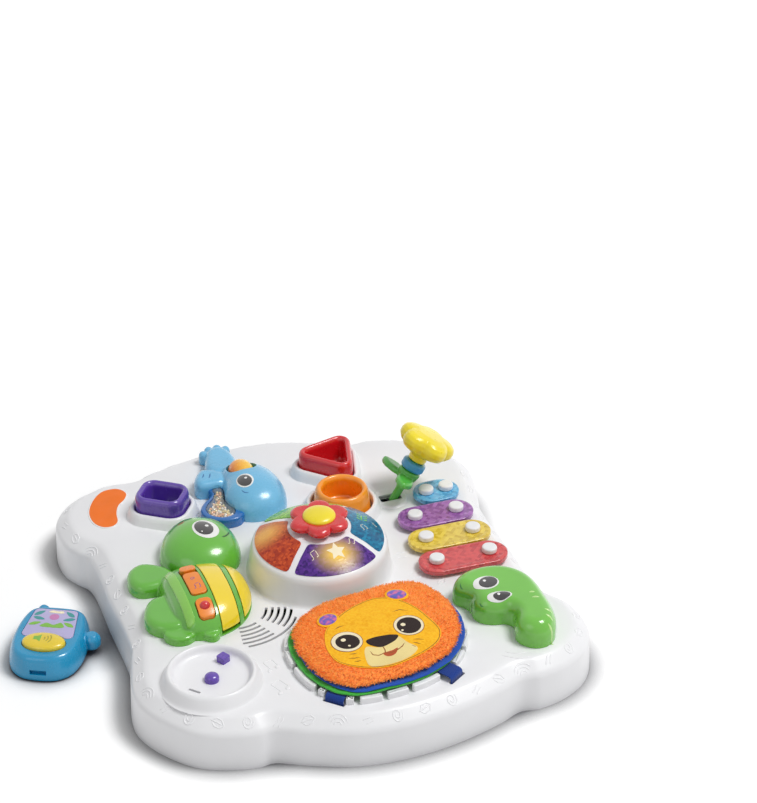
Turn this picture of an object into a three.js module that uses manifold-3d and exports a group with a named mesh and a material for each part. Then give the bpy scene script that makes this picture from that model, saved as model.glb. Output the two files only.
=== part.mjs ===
// Musical activity table. Millimetres, Z up, floor at zero, front edge towards -Y.
import * as THREE from 'three';
import { mergeVertices } from 'three/addons/utils/BufferGeometryUtils.js';
import Module from 'manifold-3d';

const wasm = await Module();
wasm.setup();

// Driving sizes.
const TOP = 47;
const WALL = 2.6;
const GAP = 0.3;
const PLAY = 0.6;
const OVERRUN = 1;
const CEILING = TOP - WALL;
const COVER = 2.4;
const WELD = 0.0001;
const TIP = 0.5;

// Half of the plan outline; the other half is the same one turned half a turn.
const HALF_PLAN = [
  [-188, -48], [-192, -62], [-203, -107], [-202, -128], [-190, -155], [-166, -183], [-134, -197],
  [-117, -200], [-105, -199], [-79, -212], [-40, -228], [0, -233], [45, -230], [94, -218],
  [117, -209], [135, -211], [160, -206], [186, -191], [203, -165], [204, -128], [196, -110],
  [188, -97], [187, -25],
];
const PLAN_COUNT = 76;

// Shell section as [inset, height], outside and inside, with the cover ledge.
const SHELL_OUTSIDE = [[0, 0], [1.5, 34], [3.4, 37], [14, 45.5], [19, TOP]];
const LEDGE = { inset: 4.8, low: 2.7, high: 5.4 };
const SHELL_INSIDE = [
  [18.4, CEILING], [5, 34.4], [2.9, 7], [LEDGE.inset, LEDGE.high], [LEDGE.inset, LEDGE.low],
  [WALL, LEDGE.low], [WALL, 0],
];

// Inner board and switch heights.
const BOARD = { low: 29, high: 30.6, post: 4, sides: 8 };
const PAD = { foot: 6, head: 4, high: 40.4 };

// Round drum with four lenses and the flower button.
const DRUM = { x: 5, y: -4, count: 32, divider: 3, inner: 29, outer: 58.6, lens: 2.4, ledge: 2.2 };
const DRUM_OUTSIDE = [
  [65.4, 46], [64, 49], [62.4, 72], [60.4, 76], [45, 84.8], [29.5, 90.6], [27, 92],
];
const DRUM_INSIDE = [[60.6, 43], [59, 70], [44, 79], [27, 86]];
const FLOWER = {
  reach: 29, petals: 6, count: 36, hook: 8.6, stem: 6.4, tube: 10, tubeLow: 45, seat: 15.3, seatCount: 20,
};
const FLOWER_LOW = 40.7;
const FLOWER_ANGLE = 11.4;
const FLOWER_LIFT = 3.4;
const FLOWER_RISE = 8;
const FLOWER_SEAT_DEPTH = 1.6;
const FLOWER_DOME = 4.6;
const FLOWER_SECTION_SHARES = [[0.82, 0.2, 0], [1, 0.26, 0.28], [0.98, 0.26, 0.66], [0.82, 0.2, 1]];

// Cups: square, triangle and ring.
const CUP = { low: 40.7, flange: 2.4, flangeLow: 41.5, collar: 57, rim: 72, floor: 48 };
const ABOVE = TOP + CUP.rim;
const CUP_RIM = [[0, -1.8], [1.4, 0], [3.4, 0], [4.8, -1.8]];
const COLLAR = [[-8.8, -11], [-5.4, -2], [-3.6, 0]];
const SQUARE = { x: -105, y: 131, angle: -36, width: 48, depth: 39, radius: 9 };
const TRIANGLE = { x: 68, y: 144, angle: 164, reach: 42, radius: 9 };
const RING = { x: 56, y: 78, rim: 25.4, foot: 28.5, count: 26 };

// Dish with its two pegs and a slot.
const DISH = { x: -137, y: -131, count: 30, floor: 51, hollow: 34 };
const DISH_SECTION = [
  [43, 46], [38.4, 57], [36.4, 59], [34.6, 57.6], [31, 51],
];
const SQUARE_PEG = { x: -121, y: -113, half: 4.4, high: 57, angle: 30 };
const ROUND_PEG = { x: -138, y: -135, half: 6.4, high: 57.5, angle: 0 };
const PEG = { low: 43.6, flange: 1.8, flangeLow: 44.4, flangeHigh: 48.1, crown: 1, count: 12, corner: 1.2 };
const DISH_SLOT = { x: -156, y: -144, length: 13, width: 4, angle: -48 };

// Toy lever with a flower head; heights along its own stem.
const LEVER = { x: 105, y: 78, z: 41, lean: 31, hub: 5.4, hubHalf: 5, pin: 2, count: 12 };
const BOSS = { radius: 15.5, high: 49, slotHalf: 10.6, slotSide: 5.6 };
const PIVOT_EAR = { wide: 10, thick: 3.2, low: 36 };
const LEVER_STEM = [
  [4, 0], [4, 19], [5.4, 24], [8.6, 30], [10.6, 36], [10.8, 39.4], [9.6, 40.6], [6, 40.6], [6, 69.4],
];
const LEAF = { x: 16, turns: [118, -122] };
const LEAF_OUTLINE = [
  [-15, 0], [-7, -7.4], [4, -8.4], [12, -4.6], [16, 0], [12, 4.6], [4, 8.4], [-7, 7.4],
];
const LEAF_SECTION = [[3, 29], [0.7, 30.4], [0, 32.4], [1, 34.6], [3.6, 36]];
const SPIN_RING = { inner: 6.6, outer: 11.6, low: 41, high: 50.8, bevel: 1.6 };
const HEAD = { reach: 29, lobes: 5, count: 40, bore: 6.4, low: 51.4, boreHigh: 69.9, turn: 57 };
const HEAD_SECTION = [
  [0.3, 0, 51.4], [0.3, 0, 58], [0.8, 0.2, 63], [0.98, 0.23, 68.4], [0.99, 0.24, 73], [0.87, 0.22, 78.6],
  [0.5, 0.1, 81.6],
];

// Xylophone bars as [centre x, centre y, length, turn in degrees, cap spread].
const BAR = { depth: 35, low: 50, high: 55.8, bevel: 1.3, hole: 2.9, rib: 3, ribLength: 26, ribHigh: 48.2 };
const BARS = {
  red: [129.5, -45.5, 85, -2.2, 51], yellow: [131, -8.5, 80, -1.6, 46],
  purple: [132, 28.6, 74, -1, 41], blue: [147, 65.4, 45, 0, 20],
};
const CAP = { head: 7, headLow: 56.1, headHigh: 61, bevel: 1.1, stem: 2.3, low: 41.4, count: 10 };

// Turtle.
const TURTLE = { base: TOP + GAP, height: 28.5, thick: 5.4, focus: [-116, -28], count: 26 };
const TURTLE_SHELL = [
  [-145, 6], [-147.4, -20], [-146, -54], [-137, -71], [-120, -75.5], [-103, -72], [-91, -66],
  [-79, -54], [-70.6, -36], [-68, -17], [-70.4, 1], [-84, 15], [-110, 22], [-133, 19],
];
const TURTLE_HEAD = [
  [-131, 47], [-124, 71], [-109, 87], [-93, 93], [-75, 88], [-62, 76], [-56, 57], [-58, 35],
  [-67, 19], [-86, 11], [-107, 14], [-124, 27],
];
const TURTLE_FOCUS = [-93, 53];
const TURTLE_HEAD_RISE = 29;
const TURTLE_LIMBS = [
  {
    high: 60.5,
    round: 7,
    points: [[-169, 17], [-165, 35], [-152, 42.6], [-137, 36], [-126, 20], [-132, 6], [-149, 2], [-163, 5]],
  },
  {
    high: 63,
    round: 8,
    points: [
      [-157, -13], [-167, -26], [-170, -44], [-161, -58], [-142, -62], [-128, -50], [-128, -28],
      [-140, -12],
    ],
  },
  {
    high: 56.5,
    round: 6,
    points: [[-160, -54], [-159, -65], [-151, -73.6], [-140, -74], [-130, -65], [-134, -50], [-150, -46]],
  },
  {
    high: 55,
    round: 4,
    points: [[-131, -62], [-127, -74], [-119, -80.6], [-112, -76], [-111, -62], [-120, -56]],
  },
];
const TURTLE_RIM = { left: -139, right: -131.5, low: -68, high: 12, rise: 1.3 };
const BAND = { left: -109, right: -91, low: -90, high: 8 };
const RUMP = { left: -85, right: -60, low: -80, high: 20 };
const INLAY = { proud: 0.5, deep: 2.2, floor: 2.5, foot: 51 };
const KEY = { x: -120, width: 14.4, radius: 4, proud: 1.6, lip: 1.4, lipDeep: 7.4, stem: 3, stemLow: 54.4 };
const KEY_TRAVEL = 2;
const KEY_SPANS = { upper: [-44, 1], lower: [-68, -50] };
const KEY_BUMP = { low: -9.4, high: 1, proud: 3.4 };
const DROP = { x: -120, y: -57.5, reach: 4.6, low: 66, base: 71, rise: 5.4 };
const LIMB_COUNT = 14;
const TURTLE_BOARD = { width: 15, short: 5, high: 1.6, switch: 3, switchHigh: 49.6, corner: 3 };

// Elephant.
const ELEPHANT = { rise: 28, focus: [-18, 122], thick: 2.6, count: 24 };
const ELEPHANT_BODY = [
  [-38, 90], [-30, 85.6], [-18, 84], [-5, 87], [6, 96], [12, 112], [12, 132], [6, 152], [-6, 166],
  [-20, 172], [-34, 170], [-42, 158], [-44, 141], [-48, 127], [-50.6, 114], [-46, 99],
];
const ELEPHANT_FOOT = [
  [-50, 170], [-46, 188], [-40, 202], [-31, 206], [-22, 202], [-18, 190], [-19, 172], [-30, 158],
  [-44, 158],
];
const ELEPHANT_TRUNK = [
  [-36, 156], [-47, 166.6], [-56, 169], [-63, 162], [-68, 150], [-66, 141], [-54, 139], [-40, 140],
];
const TRAY = [
  [-57, 141], [-56.6, 132], [-62, 125], [-69.6, 118], [-74.6, 108], [-73, 97], [-65, 88], [-54, 83.6],
  [-43, 84.6], [-36, 92], [-34, 110], [-36, 130], [-44, 142],
];
const WINDOW = [
  [-54.6, 137], [-49, 138], [-49.4, 129], [-52.6, 118], [-52, 108], [-49, 99.4], [-54, 94.6], [-61, 96],
  [-66.6, 103.6], [-65, 112], [-59.4, 120.6], [-56, 129],
];
const FOOT_HIGH = 63;
const FOOT_ROUND = 7;
const TRUNK_HIGH = 64;
const TRUNK_ROUND = 7;
const TRAY_HIGH = 57;
const TRAY_ROUND = 2;
const TOES = [[-43.6, 201], [-36.6, 206.6], [-28, 207.4], [-20.8, 202.6]];
const TOE_REACH = 4.6;
const GLASS = { low: 53, high: 57.4, floor: 48.6, round: 1.2, ledge: 1.4 };
const HEAP_HIGH = 51.6;
const ROLLER = {
  x: -21, y: 149, z: 62.4, reach: 11, end: 8.6, half: 9.6, stub: 2.6, stubHalf: 12.4, count: 14,
};
const ROLLER_WAIST = [10.3, 5.4];
const ROLLER_BELLY = 1.6;
const POCKET = { width: 25, depth: 20.6, radius: 6, wall: 3.4, low: 49.8 };

// Inchworm.
const INCHWORM = [
  [97.6, -97], [104, -88], [117, -82], [134, -81], [149, -85], [161, -94.6], [168.6, -109],
  [170.6, -124], [170, -140], [169, -157], [165, -173], [158, -183.6], [149, -188.4], [139, -187],
  [131, -180], [127.6, -172], [129.6, -163], [133, -154], [129, -146], [119, -143.4], [110, -138],
  [105, -129], [106, -119], [103, -110], [98.4, -104],
];
const INCHWORM_SIZE = { high: 72, wall: 58, round: 10.6, thick: 2.4, count: 38 };

// Lion book.
const MANE = [
  [-58, -108], [-47, -93], [-30, -81.6], [-5, -74], [18, -71.4], [39, -68.4], [59, -70], [73, -77],
  [84, -95], [89, -117], [88, -138], [82, -157], [69, -176], [51, -190], [30, -198], [6, -201.6],
  [-16, -202], [-34, -199], [-45, -191], [-54, -177], [-60, -161], [-62.6, -140], [-62, -122],
];
const FACE = [
  [-37, -138], [-30, -121], [-12, -105.6], [8, -95.6], [26, -92], [41, -98], [53, -114],
  [60, -136], [62.6, -156], [56, -169], [42, -178.6], [24, -185], [6, -188.6], [-10, -186],
  [-24, -179], [-35.6, -168], [-38.6, -154],
];
const EARS = [[-24, -108.6], [45.6, -94]];
const EAR_REACH = 9.4;
const MANE_COUNT = 40;
const RAIL = { grow: 3.4, thick: 3, high: 53, notches: 16, notch: 6, across: 12 };
const GREEN = { low: 53.3, high: 55.9, grow: 2.4 };
const LINING = { low: 56.2, high: 57.8, grow: 1.2 };
const PLUSH_SECTION = [[3, 58.1], [0.7, 59.4], [0, 61.2], [1.5, 63.6], [5, 65]];
const FACE_SECTION = [[0, 62], [0, 65.3], [0.9, 66], [2.8, 66.3]];
const EAR_SECTION = [[0, 62], [0, 65.6], [0.8, 66.4], [2, 66.7]];
const PAGE_EDGE = 0.5;
const STRAP = { thick: 1.3, width: 17, low: 42, in: 11, out: 2, clear: 1.2 };
const STRAPS = { left: [-47.4, -193.4, 225], right: [58.2, -198.4, 303] };

// Speaker slots: arcs about one point, in two groups and one long outer row.
const GRILLE = { x: -89, y: -39, first: 29.4, pitch: 5.6, rows: 5, width: 1.9, count: 3 };
const GRILLE_GROUPS = [[-98, -64], [-50, -16]];
const GRILLE_OUTER = [-94, -32];
const SPEAKER = {
  x: -72, y: -76, ring: 22, cone: 12, low: 33, mid: 38, rimDeep: 2, high: 44.1, post: 8, count: 20,
};

// Label plate.
const LABEL = [
  [-172, 156], [-161, 178], [-149, 188], [-134, 187], [-127.4, 176], [-132, 165], [-140, 157],
  [-145, 145], [-148, 130], [-155, 124], [-165, 125.6], [-172, 136],
];
const LABEL_DEPTH = 0.9;
const LABEL_HIGH = 47.7;

// Underside.
const LEG_SOCKETS = [[-142, -138], [150, -150], [142, 138], [-150, 150]];
const SOCKET = { bore: 16, outer: 19, high: 33, count: 16 };
const CELL = { radius: 7.1, length: 50, nub: 2.7, nubLength: 1.2, z: 9.5, pitch: 15, count: 14 };
const CELL_ROOM = { front: 3, back: 9, side: 1.6 };
const CELL_BOX = {
  x: 0,
  y: 95,
  width: CELL.pitch + 2 * (CELL.radius + CELL_ROOM.side),
  length: CELL.length + CELL_ROOM.front + CELL_ROOM.back,
  high: 19.4,
  radius: 3,
};
const DOOR = { thick: 2.1, screwIn: 4, boss: 3.8 };
const SCREW = { shank: 1.4, head: 2.9, headLow: 0.3, headHigh: 1.4, high: 10 };
const SCREW_Y = CELL_BOX.y + CELL_BOX.length / 2 - DOOR.screwIn;
const MAIN_BOARD = [
  [-128, 104], [-90, 96], [-52, 34], [-50, -34], [-16, -60], [42, -56], [64, -20], [92, 62], [98, 150],
  [60, 172], [30, 150], [20, 66], [-40, 74], [-92, 160], [-120, 156],
];
const BOARD_POSTS = [[-116, 128], [-36, 52], [-30, -40], [50, -30], [84, 70], [76, 158]];
const LAMP = { ring: 44, reach: 2.6, high: 34 };

// Toy phone, drawn upright about its own middle and turned on the floor.
const PHONE = { x: -246, y: 15, turn: -27.8, count: 24, floor: 2 };
const PHONE_HALF = [
  [0, -42], [16, -40], [28, -31], [34, -15], [35, 4], [33, 24], [28, 38], [19, 44], [8, 45.4],
];
const PHONE_SECTION = [[1.4, 0], [0.3, 3], [0, 8], [2.6, 17], [4.6, 22], [7, 24]];
const PHONE_INSIDE = [
  [3.4, -OVERRUN], [3.4, PHONE.floor + GAP], [5, PHONE.floor + GAP], [5, 6], [3.6, 8], [6.2, 17],
  [8.8, 21.4],
];
const PHONE_KEY = {
  y: -15, width: 39, depth: 24.6, low: 19.2, lipHigh: 21.1, lip: 1, high: 27, bevel: 1.8, crown: 4.4,
  count: 20,
};
const PHONE_PANEL = {
  low: -6, high: 35.6, half: 21.6, narrow: 16.8, deep: 1.2, proud: 0.3, radius: 5, clear: 4,
};
const PHONE_KNOBS = [[37, 10, 8], [-16, 46, 6]];
const KNOB_SECTION = [[2, 5], [0, 8], [0, 15.4], [3, 19.4]];
const PHONE_SLOT = { wide: 15, low: 8, high: 12.4, deep: 6 };
const PHONE_RIBS = { x: 36, low: -15, pitch: 6, count: 3, reach: 2.2, high: 17, sides: 5 };

// A dome section as shares of its reach and of its rise.
const DOME_SHARES = [[1, 0], [0.95, 0.36], [0.8, 0.7], [0.52, 0.92], [0.2, 1]];
const INNER_DOME_SHARES = [[1, 0], [0.88, 0.5], [0.5, 0.9]];
const ROUND_STEPS = 3;
const SMOOTH_STEP = 1.6;

const WHITE = { color: 0xf1f0ee, roughness: 0.34, metalness: 0 };
const PURPLE = { color: 0x583ca0, roughness: 0.3, metalness: 0 };
const RED = { color: 0xd71e2d, roughness: 0.28, metalness: 0 };
const ORANGE = { color: 0xf8921e, roughness: 0.3, metalness: 0 };
const YELLOW = { color: 0xf3d523, roughness: 0.3, metalness: 0 };
const TURTLE_GREEN = { color: 0x6cbc3a, roughness: 0.26, metalness: 0 };
const SKY_BLUE = { color: 0x62b6e2, roughness: 0.3, metalness: 0 };
const PHONE_BLUE = { color: 0x1382b9, roughness: 0.3, metalness: 0 };
const CLEAR = { color: 0xe8ece8, roughness: 0.1, metalness: 0 };
const BOARD_GREEN = { color: 0x2d6b45, roughness: 0.5, metalness: 0 };
const STEEL = { color: 0xb9bcc0, roughness: 0.3, metalness: 0.9 };
const RUBBER = { color: 0x4a4a4c, roughness: 0.8, metalness: 0 };
const MANE_ORANGE = { color: 0xf58232, roughness: 0.95, metalness: 0 };
const PAGE_BLUE = { color: 0x14469f, roughness: 0.9, metalness: 0 };
const PAGE_GREEN = { color: 0x3fa548, roughness: 0.9, metalness: 0 };

// Outlines: lists of plan points, counter-clockwise.
function times(count, make) {
  return Array.from({ length: count }, (_, i) => make(i));
}

function point([x, y]) {
  return new THREE.Vector2(x, y);
}

function counterClockwise(outline) {
  return THREE.ShapeUtils.isClockWise(outline) ? [...outline].reverse() : outline;
}

function smooth(points, count) {
  const corners = points.map(([x, y]) => new THREE.Vector3(x, y, 0));
  const path = new THREE.CatmullRomCurve3(corners, true);
  const spaced = path.getSpacedPoints(count).slice(0, count);
  return counterClockwise(spaced.map((p) => new THREE.Vector2(p.x, p.y)));
}

function lobed(reach, lobes, depthShare, count, turn = 0) {
  return times(count, (i) => {
    const angle = (2 * Math.PI * i) / count;
    const lobe = Math.abs(Math.cos((lobes * (angle - THREE.MathUtils.degToRad(turn))) / 2));
    const radius = reach * (1 - depthShare + depthShare * lobe);
    return new THREE.Vector2(radius * Math.cos(angle), radius * Math.sin(angle));
  });
}

function circle(radius, count) {
  return lobed(radius, 1, 0, count);
}

function rounded(corners, radius, steps) {
  return corners.flatMap((corner, i) => {
    const back = corners.at(i - 1).clone().sub(corner).normalize();
    const on = corners[(i + 1) % corners.length].clone().sub(corner).normalize();
    const middle = back.clone().add(on).normalize();
    const half = Math.acos(back.dot(on)) / 2;
    const centre = corner.clone().addScaledVector(middle, radius / Math.sin(half));
    const start = middle.angle() + Math.PI - (Math.PI / 2 - half);
    return times(steps + 1, (k) => {
      const angle = start + ((Math.PI - 2 * half) * k) / steps;
      return new THREE.Vector2(centre.x + radius * Math.cos(angle), centre.y + radius * Math.sin(angle));
    });
  });
}

function rectangle(width, depth, radius, steps = ROUND_STEPS) {
  const corners = [[-width, -depth], [width, -depth], [width, depth], [-width, depth]];
  return rounded(corners.map(([x, y]) => new THREE.Vector2(x / 2, y / 2)), radius, steps);
}

function stadium(length, width, steps) {
  const half = (length - width) / 2;
  const end = (side) => times(steps + 1, (k) => {
    const angle = (Math.PI * k) / steps - (side * Math.PI) / 2;
    return new THREE.Vector2(side * half + (width / 2) * Math.cos(angle), (width / 2) * Math.sin(angle));
  });
  return [...end(1), ...end(-1)];
}

function placed(outline, x, y, turn = 0) {
  const angle = THREE.MathUtils.degToRad(turn);
  const [origin, shift] = [new THREE.Vector2(), new THREE.Vector2(x, y)];
  return outline.map((p) => p.clone().rotateAround(origin, angle).add(shift));
}

function inset(outline, distance) {
  return outline.map((p, i) => {
    const before = outline.at(i - 1);
    const after = outline[(i + 1) % outline.length];
    const back = p.clone().sub(before).normalize();
    const on = after.clone().sub(p).normalize();
    const along = back.clone().add(on).normalize();
    const stretch = 1 / Math.max(along.dot(on), 0.5);
    return new THREE.Vector2(p.x - along.y * distance * stretch, p.y + along.x * distance * stretch);
  });
}

// Insets a soft outline in short steps, easing it after each, so tight bends never cross.
function eased(outline, distance) {
  const steps = Math.max(1, Math.ceil(Math.abs(distance) / SMOOTH_STEP));
  return times(steps, () => distance / steps).reduce((shape, step) => {
    const moved = inset(shape, step);
    return moved.map((p, i) => {
      const neighbours = moved.at(i - 1).clone().add(moved[(i + 1) % moved.length]);
      return neighbours.addScaledVector(p, 2).divideScalar(4);
    });
  }, outline);
}

function towards(outline, focus, share) {
  const centre = point(focus);
  return outline.map((p) => centre.clone().lerp(p, share));
}

// Solids.
function ring(outline, z) {
  return outline.map((p) => new THREE.Vector3(p.x, p.y, z));
}

function loft(rings) {
  const count = rings[0].length;
  const positions = rings.flat().flatMap((p) => [p.x, p.y, p.z]);
  const index = [];
  for (let level = 0; level < rings.length - 1; level += 1) {
    for (let i = 0; i < count; i += 1) {
      const here = level * count + i;
      const next = level * count + ((i + 1) % count);
      index.push(here, next, next + count, here, next + count, here + count);
    }
  }
  const flat = (level) => level.map((p) => new THREE.Vector2(p.x, p.y));
  const cap = (level) => THREE.ShapeUtils.triangulateShape(flat(level), []);
  const last = (rings.length - 1) * count;
  cap(rings[0]).forEach(([a, b, c]) => index.push(c, b, a));
  cap(rings.at(-1)).forEach(([a, b, c]) => index.push(last + a, last + b, last + c));
  const geometry = new THREE.BufferGeometry();
  geometry.setAttribute('position', new THREE.Float32BufferAttribute(positions, 3));
  geometry.setIndex(index);
  return geometry;
}

function solid(geometry) {
  geometry.deleteAttribute('normal');
  geometry.deleteAttribute('uv');
  const merged = mergeVertices(geometry, WELD);
  return new wasm.Manifold(new wasm.Mesh({
    numProp: 3,
    vertProperties: Float32Array.from(merged.attributes.position.array),
    triVerts: Uint32Array.from(merged.index.array),
  }));
}

function stack(outline, section, shrink = inset) {
  return solid(loft(section.map(([distance, z]) => ring(shrink(outline, distance), z))));
}

function prism(outline, low, high) {
  return stack(outline, [[0, low], [0, high]]);
}

function turned(section, count, x, y) {
  return solid(loft(section.map(([radius, z]) => ring(placed(circle(radius, count), x, y), z))));
}

function cylinder(radius, low, high, count, x, y) {
  return turned([[radius, low], [radius, high]], count, x, y);
}

function pillow(points, count, low, high, round) {
  const arc = times(ROUND_STEPS + 1, (k) => {
    const angle = (Math.PI * k) / (2 * ROUND_STEPS);
    return [round * (1 - Math.cos(angle)), high - round * (1 - Math.sin(angle))];
  });
  return stack(smooth(points, count), [[0, low], ...arc], eased);
}

function dome(outline, focus, foot, base, rise, shares = DOME_SHARES) {
  const levels = shares.map(([reachShare, riseShare]) => (
    ring(towards(outline, focus, reachShare), base + rise * riseShare)));
  return solid(loft([ring(outline, foot), ...levels.slice(1)]));
}

// A bar lying along Y, given as [radius, distance along Y] from the front end.
function lying(section, count, x, y, z) {
  const geometry = loft(section.map(([radius, along]) => ring(circle(radius, count), along)));
  return solid(geometry.rotateX(-Math.PI / 2).translate(x, y, z));
}

function join(first, ...others) {
  return others.reduce((whole, other) => whole.add(other), first);
}

function cut(first, ...others) {
  return others.reduce((whole, other) => whole.subtract(other), first);
}

function named(name, body, look) {
  const { vertProperties, triVerts } = body.getMesh();
  const geometry = new THREE.BufferGeometry();
  geometry.setAttribute('position', new THREE.Float32BufferAttribute(vertProperties, 3));
  geometry.setIndex(Array.from(triVerts));
  geometry.computeVertexNormals();
  const mesh = new THREE.Mesh(geometry, new THREE.MeshStandardMaterial(look));
  mesh.name = name;
  return mesh;
}

// Shared outlines.
function tableOutline() {
  const other = HALF_PLAN.map(([x, y]) => [-x, -y]);
  return smooth([...HALF_PLAN, ...other], PLAN_COUNT);
}

function squareOutline() {
  return placed(rectangle(SQUARE.width, SQUARE.depth, SQUARE.radius), SQUARE.x, SQUARE.y, SQUARE.angle);
}

function triangleOutline() {
  const corners = times(3, (i) => {
    const angle = THREE.MathUtils.degToRad(TRIANGLE.angle) + (2 * Math.PI * i) / 3;
    return new THREE.Vector2(TRIANGLE.reach * Math.cos(angle), TRIANGLE.reach * Math.sin(angle));
  });
  return placed(rounded(corners, TRIANGLE.radius, 2 * ROUND_STEPS), TRIANGLE.x, TRIANGLE.y);
}

function ringOutline() {
  return placed(circle(RING.foot, RING.count), RING.x, RING.y);
}

function lensOutline(quarter, grow) {
  const half = DRUM.divider - grow;
  const arc = (radius, steps) => times(steps + 1, (k) => {
    const edge = Math.PI / 4 - Math.asin(half / radius);
    const angle = (quarter * Math.PI) / 2 + edge * ((2 * k) / steps - 1);
    return new THREE.Vector2(radius * Math.cos(angle), radius * Math.sin(angle));
  });
  const outer = arc(DRUM.outer + grow, 3 * ROUND_STEPS);
  return placed([...outer, ...arc(DRUM.inner - grow, 2 * ROUND_STEPS).reverse()], DRUM.x, DRUM.y);
}

function drumLayer(depth) {
  const section = DRUM_OUTSIDE.map(([radius, z]) => [radius, z - depth]);
  return turned([...section, [TIP, DRUM_OUTSIDE.at(-1)[1] - depth]], DRUM.count, DRUM.x, DRUM.y);
}

function mane(grow) {
  return eased(smooth(MANE, MANE_COUNT), -grow);
}

// White top: shell, drum, dish, collars, rail, slots and bosses.
function tableTop() {
  const shell = stack(tableOutline(), [...SHELL_INSIDE, ...SHELL_OUTSIDE]);
  const raised = join(
    shell, drum(), dish(), collar(squareOutline()), collar(triangleOutline()), collar(ringOutline()),
    rail(), leverBoss(), ...barRibs(),
  );
  return cut(
    raised, drumHollow(), flowerBore(), ...lensPockets(), dishHollow(), ...pegBores(), dishSlot(),
    leverSlot(), opening(squareOutline()), opening(triangleOutline()), opening(ringOutline()),
    ...capBores(),
    ...grilleSlots(), ...strapSlots(), labelRecess(),
  ).add(leverEars()).add(flowerTube());
}

function drum() {
  return turned(DRUM_OUTSIDE, DRUM.count, DRUM.x, DRUM.y);
}

function drumHollow() {
  return turned(DRUM_INSIDE, DRUM.count, DRUM.x, DRUM.y);
}

function flowerBore() {
  const high = DRUM_OUTSIDE.at(-1)[1] + OVERRUN;
  return cylinder(FLOWER.stem + PLAY, FLOWER.tubeLow - OVERRUN, high, LEVER.count, DRUM.x, DRUM.y);
}

function flowerTube() {
  const high = DRUM_INSIDE.at(-1)[1] + OVERRUN;
  const tube = cylinder(FLOWER.tube, FLOWER.tubeLow, high, LEVER.count, DRUM.x, DRUM.y);
  return cut(tube, flowerBore());
}

function lensPockets() {
  const roof = drumLayer(-WALL);
  const skin = cut(roof, drumLayer(DRUM.lens + GAP));
  return times(4, (quarter) => {
    const pocket = prism(lensOutline(quarter, GAP), TOP, ABOVE).intersect(skin);
    const light = prism(lensOutline(quarter, -DRUM.ledge), TOP + DRUM.ledge, ABOVE);
    return pocket.add(light);
  });
}

function dish() {
  return turned(DISH_SECTION, DISH.count, DISH.x, DISH.y);
}

function dishHollow() {
  return cylinder(DISH.hollow, CEILING - OVERRUN, DISH.floor - WALL, DISH.count, DISH.x, DISH.y);
}

function pegOutline(peg, grow) {
  const shape = peg.angle
    ? inset(rectangle(2 * peg.half, 2 * peg.half, PEG.corner), -grow)
    : circle(peg.half + grow, PEG.count);
  return placed(shape, peg.x, peg.y, peg.angle);
}

function pegBores() {
  return [SQUARE_PEG, ROUND_PEG].map((peg) => prism(pegOutline(peg, GAP), CEILING, DISH.floor + OVERRUN));
}

function dishSlot() {
  const { x, y, length, width, angle } = DISH_SLOT;
  return prism(placed(rectangle(length, width, PEG.corner), x, y, angle), CEILING, DISH.floor + WALL);
}

function collar(outline) {
  const section = COLLAR.map(([distance, z]) => [distance, z + CUP.collar]);
  return stack(outline, section);
}

function opening(outline) {
  return prism(inset(outline, -PLAY), CEILING - OVERRUN, CUP.collar + OVERRUN);
}

function rail() {
  const outer = mane(RAIL.grow);
  const hoop = cut(
    prism(outer, TOP - OVERRUN, RAIL.high),
    prism(inset(outer, RAIL.thick), TOP - 2 * OVERRUN, RAIL.high + OVERRUN),
  );
  const spokes = times(RAIL.notches, (i) => {
    const at = Math.round((i * outer.length) / RAIL.notches);
    const along = outer[(at + 1) % outer.length].clone().sub(outer[at]);
    const turn = THREE.MathUtils.radToDeg(along.angle());
    const notch = placed(rectangle(RAIL.notch, RAIL.across, PLAY), outer[at].x, outer[at].y, turn);
    return prism(notch, TOP, RAIL.high + OVERRUN);
  });
  const seats = Object.values(STRAPS).map(([x, y, turn]) => {
    const shape = rectangle(2 * RAIL.across, STRAP.width + STRAP.clear, PLAY);
    return prism(placed(shape, x, y, turn), TOP, RAIL.high + OVERRUN);
  });
  return cut(hoop, ...spokes, ...seats);
}

function leverBoss() {
  return cylinder(BOSS.radius, TOP - OVERRUN, BOSS.high, DISH.count, LEVER.x, LEVER.y);
}

function leverSlot() {
  const shape = rectangle(2 * BOSS.slotHalf, 2 * BOSS.slotSide, PEG.corner);
  return prism(placed(shape, LEVER.x, LEVER.y), CEILING - OVERRUN, BOSS.high + OVERRUN);
}

function leverEars() {
  const ears = [-1, 1].map((side) => {
    const y = LEVER.y + side * (BOSS.slotSide + PIVOT_EAR.thick / 2);
    const outline = placed(rectangle(PIVOT_EAR.wide, PIVOT_EAR.thick, PLAY), LEVER.x, y);
    return prism(outline, PIVOT_EAR.low, CEILING + OVERRUN);
  });
  const reach = BOSS.slotSide + PIVOT_EAR.thick + OVERRUN;
  const section = [[LEVER.pin + GAP, -reach], [LEVER.pin + GAP, reach]];
  return cut(join(...ears), lying(section, LEVER.count, LEVER.x, LEVER.y, LEVER.z));
}

function barEnds([x, y, , turn, spread]) {
  return placed([new THREE.Vector2(-spread / 2, 0), new THREE.Vector2(spread / 2, 0)], x, y, turn);
}

function barRibs() {
  return Object.values(BARS).map(([x, y, , turn]) => {
    const shape = rectangle(BAR.rib, BAR.ribLength, PLAY);
    return prism(placed(shape, x, y, turn), TOP - OVERRUN, BAR.ribHigh);
  });
}

function capBores() {
  return Object.values(BARS).flatMap(barEnds)
    .map(({ x, y }) => cylinder(CAP.stem + GAP, CEILING - OVERRUN, TOP + OVERRUN, CAP.count, x, y));
}

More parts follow.
